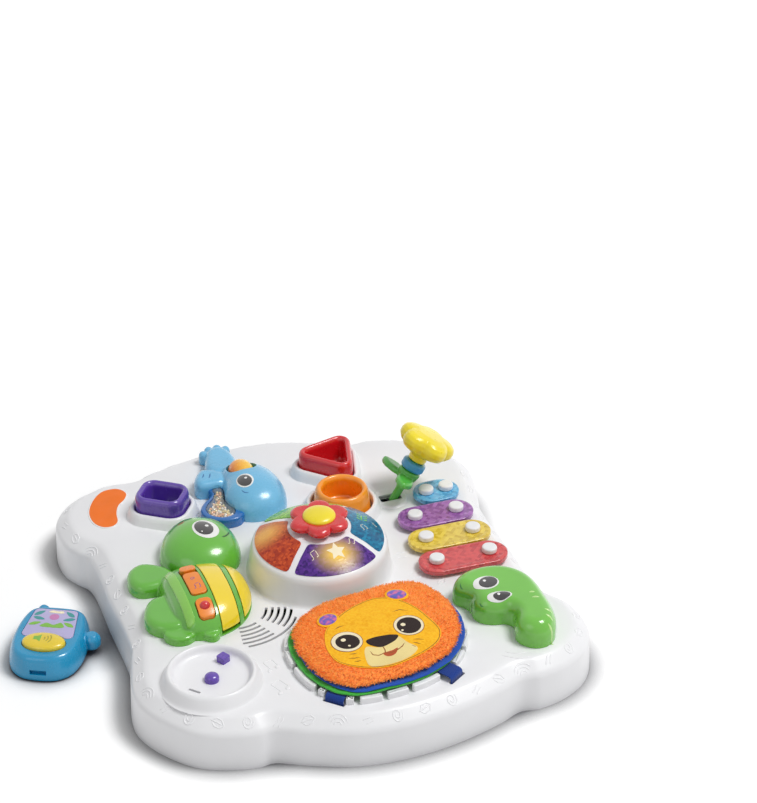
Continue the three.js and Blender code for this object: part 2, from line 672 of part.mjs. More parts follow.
function arcSlot(radius, [from, to]) {
  const side = (offset) => times(GRILLE.count + 1, (k) => {
    const angle = THREE.MathUtils.degToRad(from + ((to - from) * k) / GRILLE.count);
    return new THREE.Vector2(Math.cos(angle), Math.sin(angle)).multiplyScalar(radius + offset);
  });
  const outline = [...side(GRILLE.width / 2), ...side(-GRILLE.width / 2).reverse()];
  return prism(placed(outline, GRILLE.x, GRILLE.y), CEILING - OVERRUN, TOP + OVERRUN);
}

function grilleSlots() {
  const rows = times(GRILLE.rows, (row) => GRILLE.first + row * GRILLE.pitch);
  const grouped = rows.flatMap((radius) => GRILLE_GROUPS.map((span) => arcSlot(radius, span)));
  return [...grouped, arcSlot(GRILLE.first + GRILLE.rows * GRILLE.pitch, GRILLE_OUTER)];
}

function strapSlots() {
  return Object.values(STRAPS).map(([x, y, turn]) => {
    const shape = rectangle(STRAP.thick + 2 * PLAY, STRAP.width + 2 * PLAY, PLAY / 2);
    const out = placed([new THREE.Vector2(STRAP.out + STRAP.thick / 2, 0)], x, y, turn)[0];
    return prism(placed(shape, out.x, out.y, turn), CEILING - RAIL.across, TOP + OVERRUN);
  });
}

function labelRecess() {
  return prism(smooth(LABEL, TURTLE.count), TOP - LABEL_DEPTH, TOP + OVERRUN);
}

function labelPlate() {
  const outline = inset(smooth(LABEL, TURTLE.count), GAP);
  return stack(outline, [[0, TOP - LABEL_DEPTH + GAP], [0, LABEL_HIGH - PLAY], [PLAY, LABEL_HIGH]]);
}

// Cups that press down.
function cup(outline, taper = 0) {
  const rim = CUP_RIM.map(([distance, drop]) => [distance + taper, CUP.rim + drop]);
  const { low, flange, flangeLow, collar: foot, floor } = CUP;
  return stack(outline, [
    [0, low], [0, flangeLow], [-flange, flangeLow], [-flange, CEILING - GAP], [0, CEILING - GAP],
    [0, foot], ...rim, [rim.at(-1)[0] + PLAY, floor],
  ]);
}

function pad(x, y) {
  return turned([[PAD.foot, BOARD.high + GAP], [PAD.head, PAD.high]], CAP.count, x, y);
}

// Drum lenses and flower button.
function drumLens(quarter) {
  const skin = cut(drumLayer(-PLAY), drumLayer(DRUM.lens));
  return prism(lensOutline(quarter, 0), TOP, ABOVE).intersect(skin);
}

function flowerButton() {
  const { reach, petals, count, hook, tubeLow, stem, seat, seatCount } = FLOWER;
  const sole = DRUM_OUTSIDE.at(-1)[1] + FLOWER_LIFT;
  const high = sole + FLOWER_RISE;
  const bloom = solid(loft(FLOWER_SECTION_SHARES.map(([reachShare, lobeShare, riseShare]) => {
    const outline = lobed(reach * reachShare, petals, lobeShare, count, FLOWER_ANGLE);
    return ring(placed(outline, DRUM.x, DRUM.y), sole + FLOWER_RISE * riseShare);
  })));
  const hollow = cylinder(seat, high - FLOWER_SEAT_DEPTH, high + OVERRUN, seatCount, DRUM.x, DRUM.y);
  const post = [[hook, FLOWER_LOW], [hook, tubeLow - GAP], [stem, tubeLow - GAP], [stem, sole + OVERRUN]];
  return join(cut(bloom, hollow), turned(post, LEVER.count, DRUM.x, DRUM.y));
}

function flowerCentre() {
  const base = DRUM_OUTSIDE.at(-1)[1] + FLOWER_LIFT + FLOWER_RISE - FLOWER_SEAT_DEPTH + GAP;
  const outline = placed(circle(FLOWER.seat - GAP, FLOWER.seatCount), DRUM.x, DRUM.y);
  return dome(outline, [DRUM.x, DRUM.y], base, base + FLOWER_SEAT_DEPTH, FLOWER_DOME);
}

// Lever; built upright about its pivot and leaned over when placed.
function leverStem() {
  const stem = turned(LEVER_STEM, LEVER.count, 0, 0);
  const across = (radius, half) => lying([[radius, -half], [radius, half]], LEVER.count, 0, 0, 0);
  const hub = across(LEVER.hub, LEVER.hubHalf);
  const bore = across(LEVER.pin + GAP, LEVER.hubHalf + OVERRUN);
  const leaves = LEAF.turns.map((turn) => {
    const [centre] = placed([new THREE.Vector2(LEAF.x, 0)], 0, 0, turn);
    return stack(placed(smooth(LEAF_OUTLINE, LEVER.count), centre.x, centre.y, turn), LEAF_SECTION, eased);
  });
  return cut(join(stem, hub, ...leaves), bore);
}

function leverPin() {
  const reach = BOSS.slotSide + PIVOT_EAR.thick;
  return lying([[LEVER.pin, -reach], [LEVER.pin, reach]], CAP.count, LEVER.x, LEVER.y, LEVER.z);
}

function spinRing() {
  const { inner, outer, low, high, bevel } = SPIN_RING;
  const waist = outer - bevel;
  const section = [[waist, low], [outer, low + bevel], [outer, high - bevel], [waist, high]];
  return cut(
    turned(section, LEVER.count, 0, 0),
    cylinder(inner, low - OVERRUN, high + OVERRUN, LEVER.count, 0, 0),
  );
}

function flowerHead() {
  const petals = HEAD_SECTION.map(([reachShare, lobeShare, z]) => (
    ring(lobed(HEAD.reach * reachShare, HEAD.lobes, lobeShare, HEAD.count, HEAD.turn), z)));
  const bore = cylinder(HEAD.bore, HEAD.low - OVERRUN, HEAD.boreHigh, LEVER.count, 0, 0);
  return cut(solid(loft(petals)), bore);
}

function leaned(geometry) {
  return geometry.rotateY(THREE.MathUtils.degToRad(LEVER.lean)).translate(LEVER.x, LEVER.y, LEVER.z);
}

// Xylophone.
function bar(spec) {
  const [x, y, length, turn] = spec;
  const plate = stack(placed(stadium(length, BAR.depth, ROUND_STEPS + 2), x, y, turn), [
    [BAR.bevel, BAR.low], [0, BAR.low + BAR.bevel], [0, BAR.high - BAR.bevel], [BAR.bevel, BAR.high],
  ]);
  const holes = barEnds(spec).map((end) => (
    cylinder(BAR.hole, BAR.low - OVERRUN, BAR.high + OVERRUN, CAP.count, end.x, end.y)));
  return cut(plate, ...holes);
}

function barCap({ x, y }) {
  const { head, headLow, headHigh, bevel, stem, low, count } = CAP;
  return turned([
    [stem, low], [stem, headLow], [head, headLow], [head, headHigh - bevel], [head - bevel, headHigh],
  ], count, x, y);
}

// Turtle.
function turtleShell(depth) {
  const { base, height, focus, count } = TURTLE;
  const outline = eased(smooth(TURTLE_SHELL, count), depth);
  return depth > INLAY.floor
    ? dome(outline, focus, base - OVERRUN, base, height - depth, INNER_DOME_SHARES)
    : dome(outline, focus, base, base, height - depth);
}

function turtleHead(depth) {
  const { base, count } = TURTLE;
  const outline = eased(smooth(TURTLE_HEAD, count), depth);
  return depth > 0
    ? dome(outline, TURTLE_FOCUS, base - OVERRUN, base, TURTLE_HEAD_RISE - depth, INNER_DOME_SHARES)
    : dome(outline, TURTLE_FOCUS, base, base, TURTLE_HEAD_RISE);
}

function span(left, right, low, high, radius = PEG.corner) {
  const outline = rectangle(right - left, high - low, radius);
  return placed(outline, (left + right) / 2, (low + high) / 2);
}

function turtleBody() {
  const limbs = TURTLE_LIMBS.map(({ points, high, round }) => (
    pillow(points, LIMB_COUNT, TURTLE.base, high, round)));
  const rim = span(TURTLE_RIM.left, TURTLE_RIM.right, TURTLE_RIM.low, TURTLE_RIM.high);
  const edge = prism(rim, TURTLE.base, ABOVE).intersect(turtleShell(-TURTLE_RIM.rise));
  const whole = join(turtleShell(0), turtleHead(0), edge, ...limbs);
  const skin = cut(turtleShell(-OVERRUN - TURTLE_RIM.rise), turtleShell(INLAY.floor));
  const pockets = [BAND, RUMP].map((area) => inlayArea(area, GAP).intersect(skin));
  const keyFoot = INLAY.foot - KEY_TRAVEL - GAP;
  const keyHoles = Object.values(KEY_SPANS).map((ends) => prism(keyOutline(ends, PLAY), keyFoot, ABOVE));
  return cut(whole, turtleShell(TURTLE.thick), turtleHead(TURTLE.thick), ...pockets, ...keyHoles);
}

function inlayArea({ left, right, low, high }, grow) {
  return prism(span(left - grow, right + grow, low - grow, high + grow), INLAY.foot - grow, ABOVE);
}

function turtleInlay(area) {
  return inlayArea(area, 0).intersect(cut(turtleShell(-INLAY.proud), turtleShell(INLAY.deep)));
}

function keyOutline([low, high], grow) {
  return inset(span(KEY.x - KEY.width / 2, KEY.x + KEY.width / 2, low, high, KEY.radius), -grow);
}

function turtleKey(ends) {
  const under = turtleShell(KEY.lipDeep);
  const plate = cut(turtleShell(-KEY.proud), under);
  const top = prism(keyOutline(ends, 0), INLAY.foot, ABOVE).intersect(plate);
  const ledge = cut(turtleShell(TURTLE.thick + GAP), under);
  const lip = prism(keyOutline(ends, KEY.lip), INLAY.foot, ABOVE).intersect(ledge);
  const middle = (ends[0] + ends[1]) / 2;
  const stem = cylinder(KEY.stem, KEY.stemLow, ABOVE, CAP.count, KEY.x, middle);
  return join(top, lip, stem.intersect(turtleShell(OVERRUN)));
}

function upperKey() {
  const half = TURTLE.base + TURTLE.height / 2;
  const bump = prism(keyOutline([KEY_BUMP.low, KEY_BUMP.high], 0), half, ABOVE);
  const raised = cut(bump.intersect(turtleShell(-KEY_BUMP.proud)), turtleShell(OVERRUN));
  return join(turtleKey(KEY_SPANS.upper), raised);
}

function lowerKey() {
  const outline = placed(circle(DROP.reach, CAP.count), DROP.x, DROP.y);
  return join(turtleKey(KEY_SPANS.lower), dome(outline, [DROP.x, DROP.y], DROP.low, DROP.base, DROP.rise));
}

function turtleBoard() {
  const { width, short, high, corner, switchHigh } = TURTLE_BOARD;
  const [front, back] = [KEY_SPANS.lower[0] + short, KEY_SPANS.upper[1] - short];
  const outline = span(KEY.x - width / 2, KEY.x + width / 2, front, back, corner);
  const plate = prism(outline, TURTLE.base, TURTLE.base + high);
  const switches = Object.values(KEY_SPANS).map(([low, top]) => (
    cylinder(TURTLE_BOARD.switch, TURTLE.base, switchHigh, CAP.count, KEY.x, (low + top) / 2)));
  return join(plate, ...switches);
}

// Elephant.
function elephantDome(depth) {
  const { rise, focus, count } = ELEPHANT;
  const outline = eased(smooth(ELEPHANT_BODY, count), depth);
  return depth > 0
    ? dome(outline, focus, TURTLE.base - OVERRUN, TURTLE.base, rise - depth, INNER_DOME_SHARES)
    : dome(outline, focus, TURTLE.base, TURTLE.base, rise);
}

function elephantBody() {
  const toeHigh = FOOT_HIGH - FOOT_ROUND;
  const toes = TOES.map(([x, y]) => {
    const outline = placed(circle(TOE_REACH, CAP.count), x, y);
    return dome(outline, [x, y], TURTLE.base, toeHigh, TOE_REACH, INNER_DOME_SHARES);
  });
  const foot = pillow(ELEPHANT_FOOT, LIMB_COUNT, TURTLE.base, FOOT_HIGH, FOOT_ROUND);
  const trunk = pillow(ELEPHANT_TRUNK, LIMB_COUNT, TURTLE.base, TRUNK_HIGH, TRUNK_ROUND);
  const tray = pillow(TRAY, ELEPHANT.count, TURTLE.base, TRAY_HIGH, TRAY_ROUND);
  const pocket = (grow) => placed(
    rectangle(POCKET.width + 2 * grow, POCKET.depth + 2 * grow, POCKET.radius), ROLLER.x, ROLLER.y,
  );
  const block = prism(pocket(POCKET.wall), TURTLE.base, ABOVE).intersect(elephantDome(0));
  const hollow = cut(elephantDome(0), elephantDome(ELEPHANT.thick));
  const well = pocket(0);
  const [stub, reach] = [ROLLER.stub + GAP, ROLLER.stubHalf + GAP];
  const bore = lying([[stub, -reach], [stub, reach]], CAP.count, ROLLER.x, ROLLER.y, ROLLER.z);
  const glass = smooth(WINDOW, ELEPHANT.count);
  return cut(
    join(hollow, block, foot, trunk, tray, ...toes), prism(well, POCKET.low, ABOVE), bore,
    prism(inset(glass, -GAP), GLASS.low - GAP, ABOVE),
    prism(inset(glass, GLASS.ledge), GLASS.floor, GLASS.high),
  );
}

function beadWindow() {
  const section = [[0, GLASS.low], [0, GLASS.high - GLASS.round], [GLASS.round, GLASS.high]];
  return stack(smooth(WINDOW, ELEPHANT.count), section);
}

function beadHeap() {
  const outline = inset(smooth(WINDOW, ELEPHANT.count), GLASS.ledge + GAP);
  return stack(outline, [[0, GLASS.floor + GAP], [0, HEAP_HIGH - PLAY], [PLAY, HEAP_HIGH]]);
}

function roller() {
  const { stub, stubHalf, end, half, reach, count, x, y, z } = ROLLER;
  const back = [[reach, ROLLER_BELLY], ROLLER_WAIST, [end, half], [stub, half], [stub, stubHalf]];
  const front = back.map(([radius, along]) => [radius, -along]).reverse();
  return lying([...front, ...back], count, x, y, z);
}

// Inchworm.
function inchworm() {
  const { high, wall, round, thick, count } = INCHWORM_SIZE;
  const outline = smooth(INCHWORM, count);
  const arc = (depth, steps) => times(steps + 1, (k) => {
    const angle = (Math.PI * k) / (2 * steps);
    return [depth + round * (1 - Math.cos(angle)), wall - depth + (high - wall) * Math.sin(angle)];
  });
  const outside = stack(outline, [[0, TURTLE.base], ...arc(0, ROUND_STEPS + 1)], eased);
  return cut(outside, stack(outline, [[thick, TURTLE.base - OVERRUN], ...arc(thick, 2)], eased));
}

// Lion book.
function lionPage() {
  const leaf = stack(mane(0), PLUSH_SECTION, eased);
  const face = stack(smooth(FACE, TURTLE.count), FACE_SECTION, eased);
  const ears = EARS.map(([x, y]) => stack(placed(circle(EAR_REACH, CAP.count), x, y), EAR_SECTION));
  return join(leaf, face, ...ears);
}

function page({ low, high, grow }) {
  return stack(mane(grow), [[PAGE_EDGE, low], [0, (low + high) / 2], [PAGE_EDGE, high]]);
}

function strap() {
  const top = RAIL.high;
  const { thick, width, low, out } = STRAP;
  const section = [
    [-STRAP.in, top - thick], [out - thick, top - thick], [out, top - 2 * thick], [out, low],
    [out + thick, low], [out + thick, top - thick], [out, top], [-STRAP.in, top],
  ].map(point);
  return solid(loft([ring(section, -width / 2), ring(section, width / 2)]).rotateX(Math.PI / 2));
}

function strapPlaced([x, y, turn]) {
  return (geometry) => geometry.rotateZ(THREE.MathUtils.degToRad(turn)).translate(x, y, 0);
}

// Underside and inner works.
function bottomCover() {
  const plate = stack(tableOutline(), [[WALL + GAP, 0], [WALL + GAP, COVER]]);
  const upright = (radius, low, high) => (
    LEG_SOCKETS.map(([x, y]) => cylinder(radius, low, high, SOCKET.count, x, y)));
  const sockets = upright(SOCKET.outer, 0, SOCKET.high + COVER);
  const bores = upright(SOCKET.bore, -OVERRUN, SOCKET.high);
  const posts = BOARD_POSTS.map(([x, y]) => cylinder(BOARD.post, 0, BOARD.low - GAP, BOARD.sides, x, y));
  const speakerPost = cylinder(SPEAKER.post, 0, SPEAKER.low - GAP, SPEAKER.count, SPEAKER.x, SPEAKER.y);
  const { x, y, width, length, high, radius } = CELL_BOX;
  const box = prism(placed(rectangle(width + 2 * COVER, length + 2 * COVER, radius), x, y), 0, high);
  const room = prism(placed(rectangle(width, length, PLAY), x, y), -OVERRUN, high - COVER);
  const boss = cylinder(DOOR.boss, COVER, high, CAP.count, x, SCREW_Y);
  const thread = cylinder(SCREW.shank + GAP, 0, SCREW.high + GAP, CAP.count, x, SCREW_Y);
  return cut(join(cut(join(plate, box, speakerPost, ...sockets, ...posts), room, ...bores), boss), thread);
}

function batteryDoor() {
  const { x, y, width, length } = CELL_BOX;
  const plate = prism(placed(rectangle(width - 2 * GAP, length - 2 * GAP, PLAY), x, y), 0, DOOR.thick);
  return cut(
    plate, cylinder(SCREW.head + GAP, -OVERRUN, SCREW.headHigh, CAP.count, x, SCREW_Y),
    cylinder(SCREW.shank + GAP, 0, DOOR.thick + OVERRUN, CAP.count, x, SCREW_Y),
  );
}

function doorScrew() {
  const { x } = CELL_BOX;
  const { head, shank, headLow, headHigh, high } = SCREW;
  const section = [[head, headLow], [head, headHigh - GAP], [shank, headHigh - GAP], [shank, high]];
  return turned(section, CAP.count, x, SCREW_Y);
}

function cell(side) {
  const { radius, length, nub, nubLength, pitch, count, z } = CELL;
  const front = CELL_BOX.y - CELL_BOX.length / 2 + CELL_ROOM.front;
  const section = [[radius, 0], [radius, length], [nub, length], [nub, length + nubLength]];
  return lying(section, count, CELL_BOX.x + (side * pitch) / 2, front, z);
}

function speaker() {
  const { ring: rim, cone, low, mid, high, x, y, count, rimDeep } = SPEAKER;
  return turned([[cone, low], [cone, mid], [rim, high - rimDeep], [rim, high]], count, x, y);
}

function mainBoard() {
  const plate = prism(counterClockwise(MAIN_BOARD.map(point)), BOARD.low, BOARD.high);
  const lamps = times(4, (quarter) => {
    const [spot] = placed([new THREE.Vector2(LAMP.ring, 0)], DRUM.x, DRUM.y, quarter * 90);
    return cylinder(LAMP.reach, BOARD.low, LAMP.high, CAP.count, spot.x, spot.y);
  });
  return join(plate, ...lamps);
}

function peg(spec) {
  const top = spec.high - PEG.crown;
  const { low, flange, flangeLow, flangeHigh, crown } = PEG;
  return stack(pegOutline(spec, 0), [
    [0, low], [0, flangeLow], [-flange, flangeLow], [-flange, flangeHigh], [0, flangeHigh],
    [0, top], [crown, spec.high],
  ]);
}

// Toy phone.
function phoneOutline() {
  const other = PHONE_HALF.slice(1, -1).map(([x, y]) => [-x, y]).reverse();
  return smooth([...PHONE_HALF, ...other], PHONE.count);
}

function keyOval(grow) {
  const { width, depth, y, count } = PHONE_KEY;
  const [halfWidth, halfDepth] = [(width + grow) / 2, (depth + grow) / 2];
  return circle(1, count).map((p) => new THREE.Vector2(p.x * halfWidth, y + p.y * halfDepth));
}

function panelOutline() {
  const { low, high, half, narrow, radius } = PHONE_PANEL;
  const corners = [[-half, low], [half, low], [narrow, high], [-narrow, high]].map(point);
  return rounded(corners, radius, ROUND_STEPS);
}

function phoneCase() {
  const body = stack(phoneOutline(), PHONE_SECTION, eased);
  const room = stack(phoneOutline(), PHONE_INSIDE, eased);
  const knobs = PHONE_KNOBS.map(([x, y, reach]) => (
    stack(placed(circle(reach, CAP.count), x, y), KNOB_SECTION)));
  const { wide, low, high, deep } = PHONE_SLOT;
  const near = PHONE_HALF[0][1];
  const slot = prism(span(-wide / 2, wide / 2, near - OVERRUN, near + deep, PLAY), low, high);
  const top = PHONE_SECTION.at(-1)[1];
  const panel = cut(
    prism(inset(panelOutline(), -GAP), top - PHONE_PANEL.deep, top + OVERRUN),
    prism(keyOval(PHONE_PANEL.clear), 0, top + 2 * OVERRUN),
  );
  const keyHole = prism(keyOval(2 * PLAY), PHONE_KEY.low, top + OVERRUN);
  return cut(join(body, ...knobs), room, ...phoneGrooves(), slot, panel, keyHole);
}

function phoneGrooves() {
  const { x, low, pitch, count, reach, high, sides } = PHONE_RIBS;
  return [-1, 1].flatMap((side) => times(count, (k) => (
    cylinder(reach, -OVERRUN, high, sides, side * x, low + k * pitch))));
}

function phoneBack() {
  const edge = PHONE_INSIDE[0][0] + GAP;
  return stack(phoneOutline(), [[edge, 0], [edge, PHONE.floor]], eased);
}

function phoneButton() {
  const { low, lip, lipHigh, high, bevel, crown } = PHONE_KEY;
  return stack(keyOval(0), [
    [-lip, low], [-lip, lipHigh], [0, lipHigh], [0, high - bevel], [bevel, high - bevel / 2], [crown, high],
  ]);
}

function phonePanel() {
  const top = PHONE_SECTION.at(-1)[1];
  return cut(
    prism(panelOutline(), top - PHONE_PANEL.deep + GAP, top + PHONE_PANEL.proud),
    prism(keyOval(PHONE_PANEL.clear + 2 * GAP), 0, top + OVERRUN),
  );
}

function phonePlaced(geometry) {
  return geometry.rotateZ(THREE.MathUtils.degToRad(PHONE.turn)).translate(PHONE.x, PHONE.y, 0);
}

// Whole table.
function build() {
  const group = new THREE.Group();
  const put = (name, body, look, place = (geometry) => geometry) => {
    const mesh = named(name, body, look);
    place(mesh.geometry);
    group.add(mesh);
  };
  put('top_shell', tableTop(), WHITE);
  put('bottom_cover', bottomCover(), WHITE);
  put('battery_door', batteryDoor(), WHITE);
  put('battery_door_screw', doorScrew(), STEEL);
  put('battery_left', cell(-1), STEEL);
  put('battery_right', cell(1), STEEL);
  put('speaker', speaker(), RUBBER);
  put('main_board', mainBoard(), BOARD_GREEN);
  put('label_plate', labelPlate(), ORANGE);
  put('square_button', cup(squareOutline()), PURPLE);
  put('triangle_button', cup(triangleOutline()), RED);
  put('ring_button', cup(ringOutline(), RING.foot - RING.rim), ORANGE);
  put('square_switch_pad', pad(SQUARE.x, SQUARE.y), RUBBER);
  put('triangle_switch_pad', pad(TRIANGLE.x, TRIANGLE.y), RUBBER);
  put('ring_switch_pad', pad(RING.x, RING.y), RUBBER);
  put('flower_switch_pad', pad(DRUM.x, DRUM.y), RUBBER);
  [['right', SKY_BLUE], ['back', TURTLE_GREEN], ['left', RED], ['front', PURPLE]]
    .forEach(([side, look], quarter) => put(`drum_lens_${side}`, drumLens(quarter), look));
  put('flower_button', flowerButton(), RED);
  put('flower_button_centre', flowerCentre(), YELLOW);
  put('dish_square_peg', peg(SQUARE_PEG), PURPLE);
  put('dish_round_peg', peg(ROUND_PEG), PURPLE);
  put('lever_stem', leverStem(), TURTLE_GREEN, leaned);
  put('lever_ring', spinRing(), SKY_BLUE, leaned);
  put('lever_flower', flowerHead(), YELLOW, leaned);
  put('lever_pin', leverPin(), STEEL);
  const barLooks = { red: RED, yellow: YELLOW, purple: PURPLE, blue: SKY_BLUE };
  Object.entries(BARS).forEach(([colour, spec]) => {
    put(`bar_${colour}`, bar(spec), barLooks[colour]);
    barEnds(spec).forEach((end, i) => put(`bar_${colour}_cap_${i ? 'right' : 'left'}`, barCap(end), WHITE));
  });
  put('turtle_body', turtleBody(), TURTLE_GREEN);
  put('turtle_band', turtleInlay(BAND), YELLOW);
  put('turtle_rump', turtleInlay(RUMP), YELLOW);
  put('turtle_key_upper', upperKey(), ORANGE);
  put('turtle_key_lower', lowerKey(), ORANGE);
  put('turtle_board', turtleBoard(), BOARD_GREEN);
  put('elephant_body', elephantBody(), SKY_BLUE);
  put('bead_window', beadWindow(), CLEAR);
  put('bead_heap', beadHeap(), ORANGE);
  put('elephant_roller', roller(), ORANGE);
  put('inchworm', inchworm(), TURTLE_GREEN);
  put('lion_page', lionPage(), MANE_ORANGE);
  put('blue_page', page(LINING), PAGE_BLUE);
  put('green_page', page(GREEN), PAGE_GREEN);
  put('book_strap_left', strap(), PAGE_BLUE, strapPlaced(STRAPS.left));
  put('book_strap_right', strap(), PAGE_BLUE, strapPlaced(STRAPS.right));
  put('phone_case', phoneCase(), PHONE_BLUE, phonePlaced);
  put('phone_back', phoneBack(), PHONE_BLUE, phonePlaced);
  put('phone_button', phoneButton(), YELLOW, phonePlaced);
  put('phone_panel', phonePanel(), CLEAR, phonePlaced);
  return group;
}

export default build();
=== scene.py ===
import math

import bpy
import numpy as np
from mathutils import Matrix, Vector, noise
from mathutils.bvhtree import BVHTree


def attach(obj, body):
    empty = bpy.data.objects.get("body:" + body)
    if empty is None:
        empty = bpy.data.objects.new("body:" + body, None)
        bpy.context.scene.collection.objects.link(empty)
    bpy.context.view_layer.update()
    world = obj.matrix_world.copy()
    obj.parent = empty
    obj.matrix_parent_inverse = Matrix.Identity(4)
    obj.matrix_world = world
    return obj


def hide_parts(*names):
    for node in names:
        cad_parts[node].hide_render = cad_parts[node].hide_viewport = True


# Looks for the musical activity table. Outlines are in millimetres, like the solids they dress.
MM = 0.001
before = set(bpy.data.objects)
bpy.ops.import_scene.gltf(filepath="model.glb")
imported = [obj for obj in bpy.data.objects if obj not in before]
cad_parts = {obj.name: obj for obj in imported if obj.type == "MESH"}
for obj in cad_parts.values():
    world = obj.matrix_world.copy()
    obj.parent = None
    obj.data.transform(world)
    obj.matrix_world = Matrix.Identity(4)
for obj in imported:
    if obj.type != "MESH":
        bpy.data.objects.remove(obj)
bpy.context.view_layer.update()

# The height of the white top, of the mouldings' seat on it, and of their foot just inside it.
TOP = 47.0
SEAT = 47.3
FOOT = SEAT - 0.6

# The drum's middle, a height above everything in metres, and the angle from which an edge stays sharp.
DRUM = (5.0, -4.0)
ABOVE_ALL = 0.3
SHARP_DEGREES = 35.0
TINY = 1e-9
RNG = np.random.default_rng(7)


# Outlines.
def area(outline):
    x, y = outline[:, 0], outline[:, 1]
    return 0.5 * float(np.sum(x * np.roll(y, -1) - np.roll(x, -1) * y))


def smooth(points, count, dense=16):
    """A closed centripetal Catmull-Rom curve through the points, cut into count even steps."""
    p = np.array(points, float)
    t = np.linspace(0, 1, dense, endpoint=False)[:, None]
    runs = []
    for i in range(len(p)):
        a, b, c, d = p[i - 1], p[i], p[(i + 1) % len(p)], p[(i + 2) % len(p)]
        ab, bc, cd = (math.sqrt(np.linalg.norm(v - u)) for u, v in ((a, b), (b, c), (c, d)))
        leave = ((b - a) / ab - (c - a) / (ab + bc) + (c - b) / bc) * bc
        reach = ((c - b) / bc - (d - b) / (bc + cd) + (d - c) / cd) * bc
        runs.append((2 * t**3 - 3 * t**2 + 1) * b + (t**3 - 2 * t**2 + t) * leave
                    + (3 * t**2 - 2 * t**3) * c + (t**3 - t**2) * reach)
    return even(np.concatenate(runs), count)


def even(points, count, closed=True):
    """The same line in count even steps, a closed one always anticlockwise."""
    line = np.vstack([points, points[:1]]) if closed else np.array(points, float)
    along = np.concatenate([[0], np.cumsum(np.linalg.norm(np.diff(line, axis=0), axis=1))])
    at = np.linspace(0, along[-1], count, endpoint=not closed)
    out = np.stack([np.interp(at, along, line[:, k]) for k in range(line.shape[1])], 1)
    return out[::-1] if closed and area(out) < 0 else out


def turn(points, degrees, x=0.0, y=0.0):
    angle = math.radians(degrees)
    spin = np.array([[math.cos(angle), math.sin(angle)], [-math.sin(angle), math.cos(angle)]])
    return np.array(points, float) @ spin + np.array([x, y])


def circle(radius, count, x=0.0, y=0.0):
    angle = np.linspace(0, 2 * math.pi, count, endpoint=False)
    return np.stack([x + radius * np.cos(angle), y + radius * np.sin(angle)], 1)


def oval(half_x, half_y, count, x=0.0, y=0.0, degrees=0.0):
    return turn(circle(1, count) * [half_x, half_y], degrees, x, y)


def rounded(corners, radius, steps=10):
    """A closed outline with every corner turned into an arc."""
    points = []
    for i, corner in enumerate(corners):
        corner = np.array(corner, float)
        back = np.array(corners[i - 1], float) - corner
        on = np.array(corners[(i + 1) % len(corners)], float) - corner
        back, on = back / np.linalg.norm(back), on / np.linalg.norm(on)
        middle = (back + on) / np.linalg.norm(back + on)
        half = math.acos(float(back @ on)) / 2
        centre = corner + middle * radius / math.sin(half)
        start = math.atan2(middle[1], middle[0]) + math.pi / 2 + half
        for k in range(steps + 1):
            angle = start + (math.pi - 2 * half) * k / steps
            points.append(centre + radius * np.array([math.cos(angle), math.sin(angle)]))
    return np.array(points)


def box_outline(width, depth, radius):
    w, d = width / 2, depth / 2
    return rounded([(-w, -d), (w, -d), (w, d), (-w, d)], radius)


def lobed(reach, lobes, depth, count, degrees=0.0):
    """A flower outline."""
    angle = np.linspace(0, 2 * math.pi, count, endpoint=False)
    lobe = np.abs(np.cos(lobes * (angle - math.radians(degrees)) / 2)) ** 0.8
    radius = reach * (1 - depth + depth * lobe)
    return np.stack([radius * np.cos(angle), radius * np.sin(angle)], 1)


def inset(outline, distance):
    """Moves every point of a closed outline inwards."""
    back = outline - np.roll(outline, 1, axis=0)
    on = np.roll(outline, -1, axis=0) - outline
    along = back / np.linalg.norm(back, axis=1)[:, None] + on / np.linalg.norm(on, axis=1)[:, None]
    along /= np.linalg.norm(along, axis=1)[:, None]
    return outline + distance * np.stack([-along[:, 1], along[:, 0]], 1)


def calm(outline, passes):
    """Eases every point of a closed outline towards its neighbours."""
    for _ in range(passes):
        outline = (np.roll(outline, 1, axis=0) + 2 * outline + np.roll(outline, -1, axis=0)) / 4
    return outline


def eased(outline, distance, step=1.2):
    """Insets in short steps and calms the outline after each, so tight bends never cross."""
    steps = max(1, math.ceil(abs(distance) / step))
    for _ in range(steps):
        outline = calm(inset(outline, distance / steps), max(1, len(outline) // 60))
    return outline


def soften(profile, radius, steps=5):
    """Rounds the corners of an open profile."""
    p = [np.array(v, float) for v in profile]
    out = [p[0]]
    for a, b, c in zip(p, p[1:], p[2:]):
        to_a, to_c = np.linalg.norm(a - b), np.linalg.norm(c - b)
        start = b + (a - b) * min(radius / to_a, 0.5)
        end = b + (c - b) * min(radius / to_c, 0.5)
        for t in np.linspace(0, 1, steps + 1):
            out.append((1 - t) ** 2 * start + 2 * t * (1 - t) * b + t**2 * end)
    return [tuple(v) for v in out + [p[-1]]]


# Meshes.
def new_object(name, verts, faces, look, body, smooth_angle=SHARP_DEGREES):
    mesh = bpy.data.meshes.new(name)
    mesh.from_pydata([tuple(v) for v in np.array(verts) * MM], [], faces)
    mesh.validate()
    return finish_object(name, mesh, look, body, smooth_angle)


def finish_object(name, mesh, look, body, smooth_angle):
    obj = bpy.data.objects.new(name, mesh)
    bpy.context.scene.collection.objects.link(obj)
    mesh.shade_smooth()
    mesh.set_sharp_from_angle(angle=math.radians(smooth_angle))
    mesh.materials.append(look)
    if body:
        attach(obj, body)
    return obj


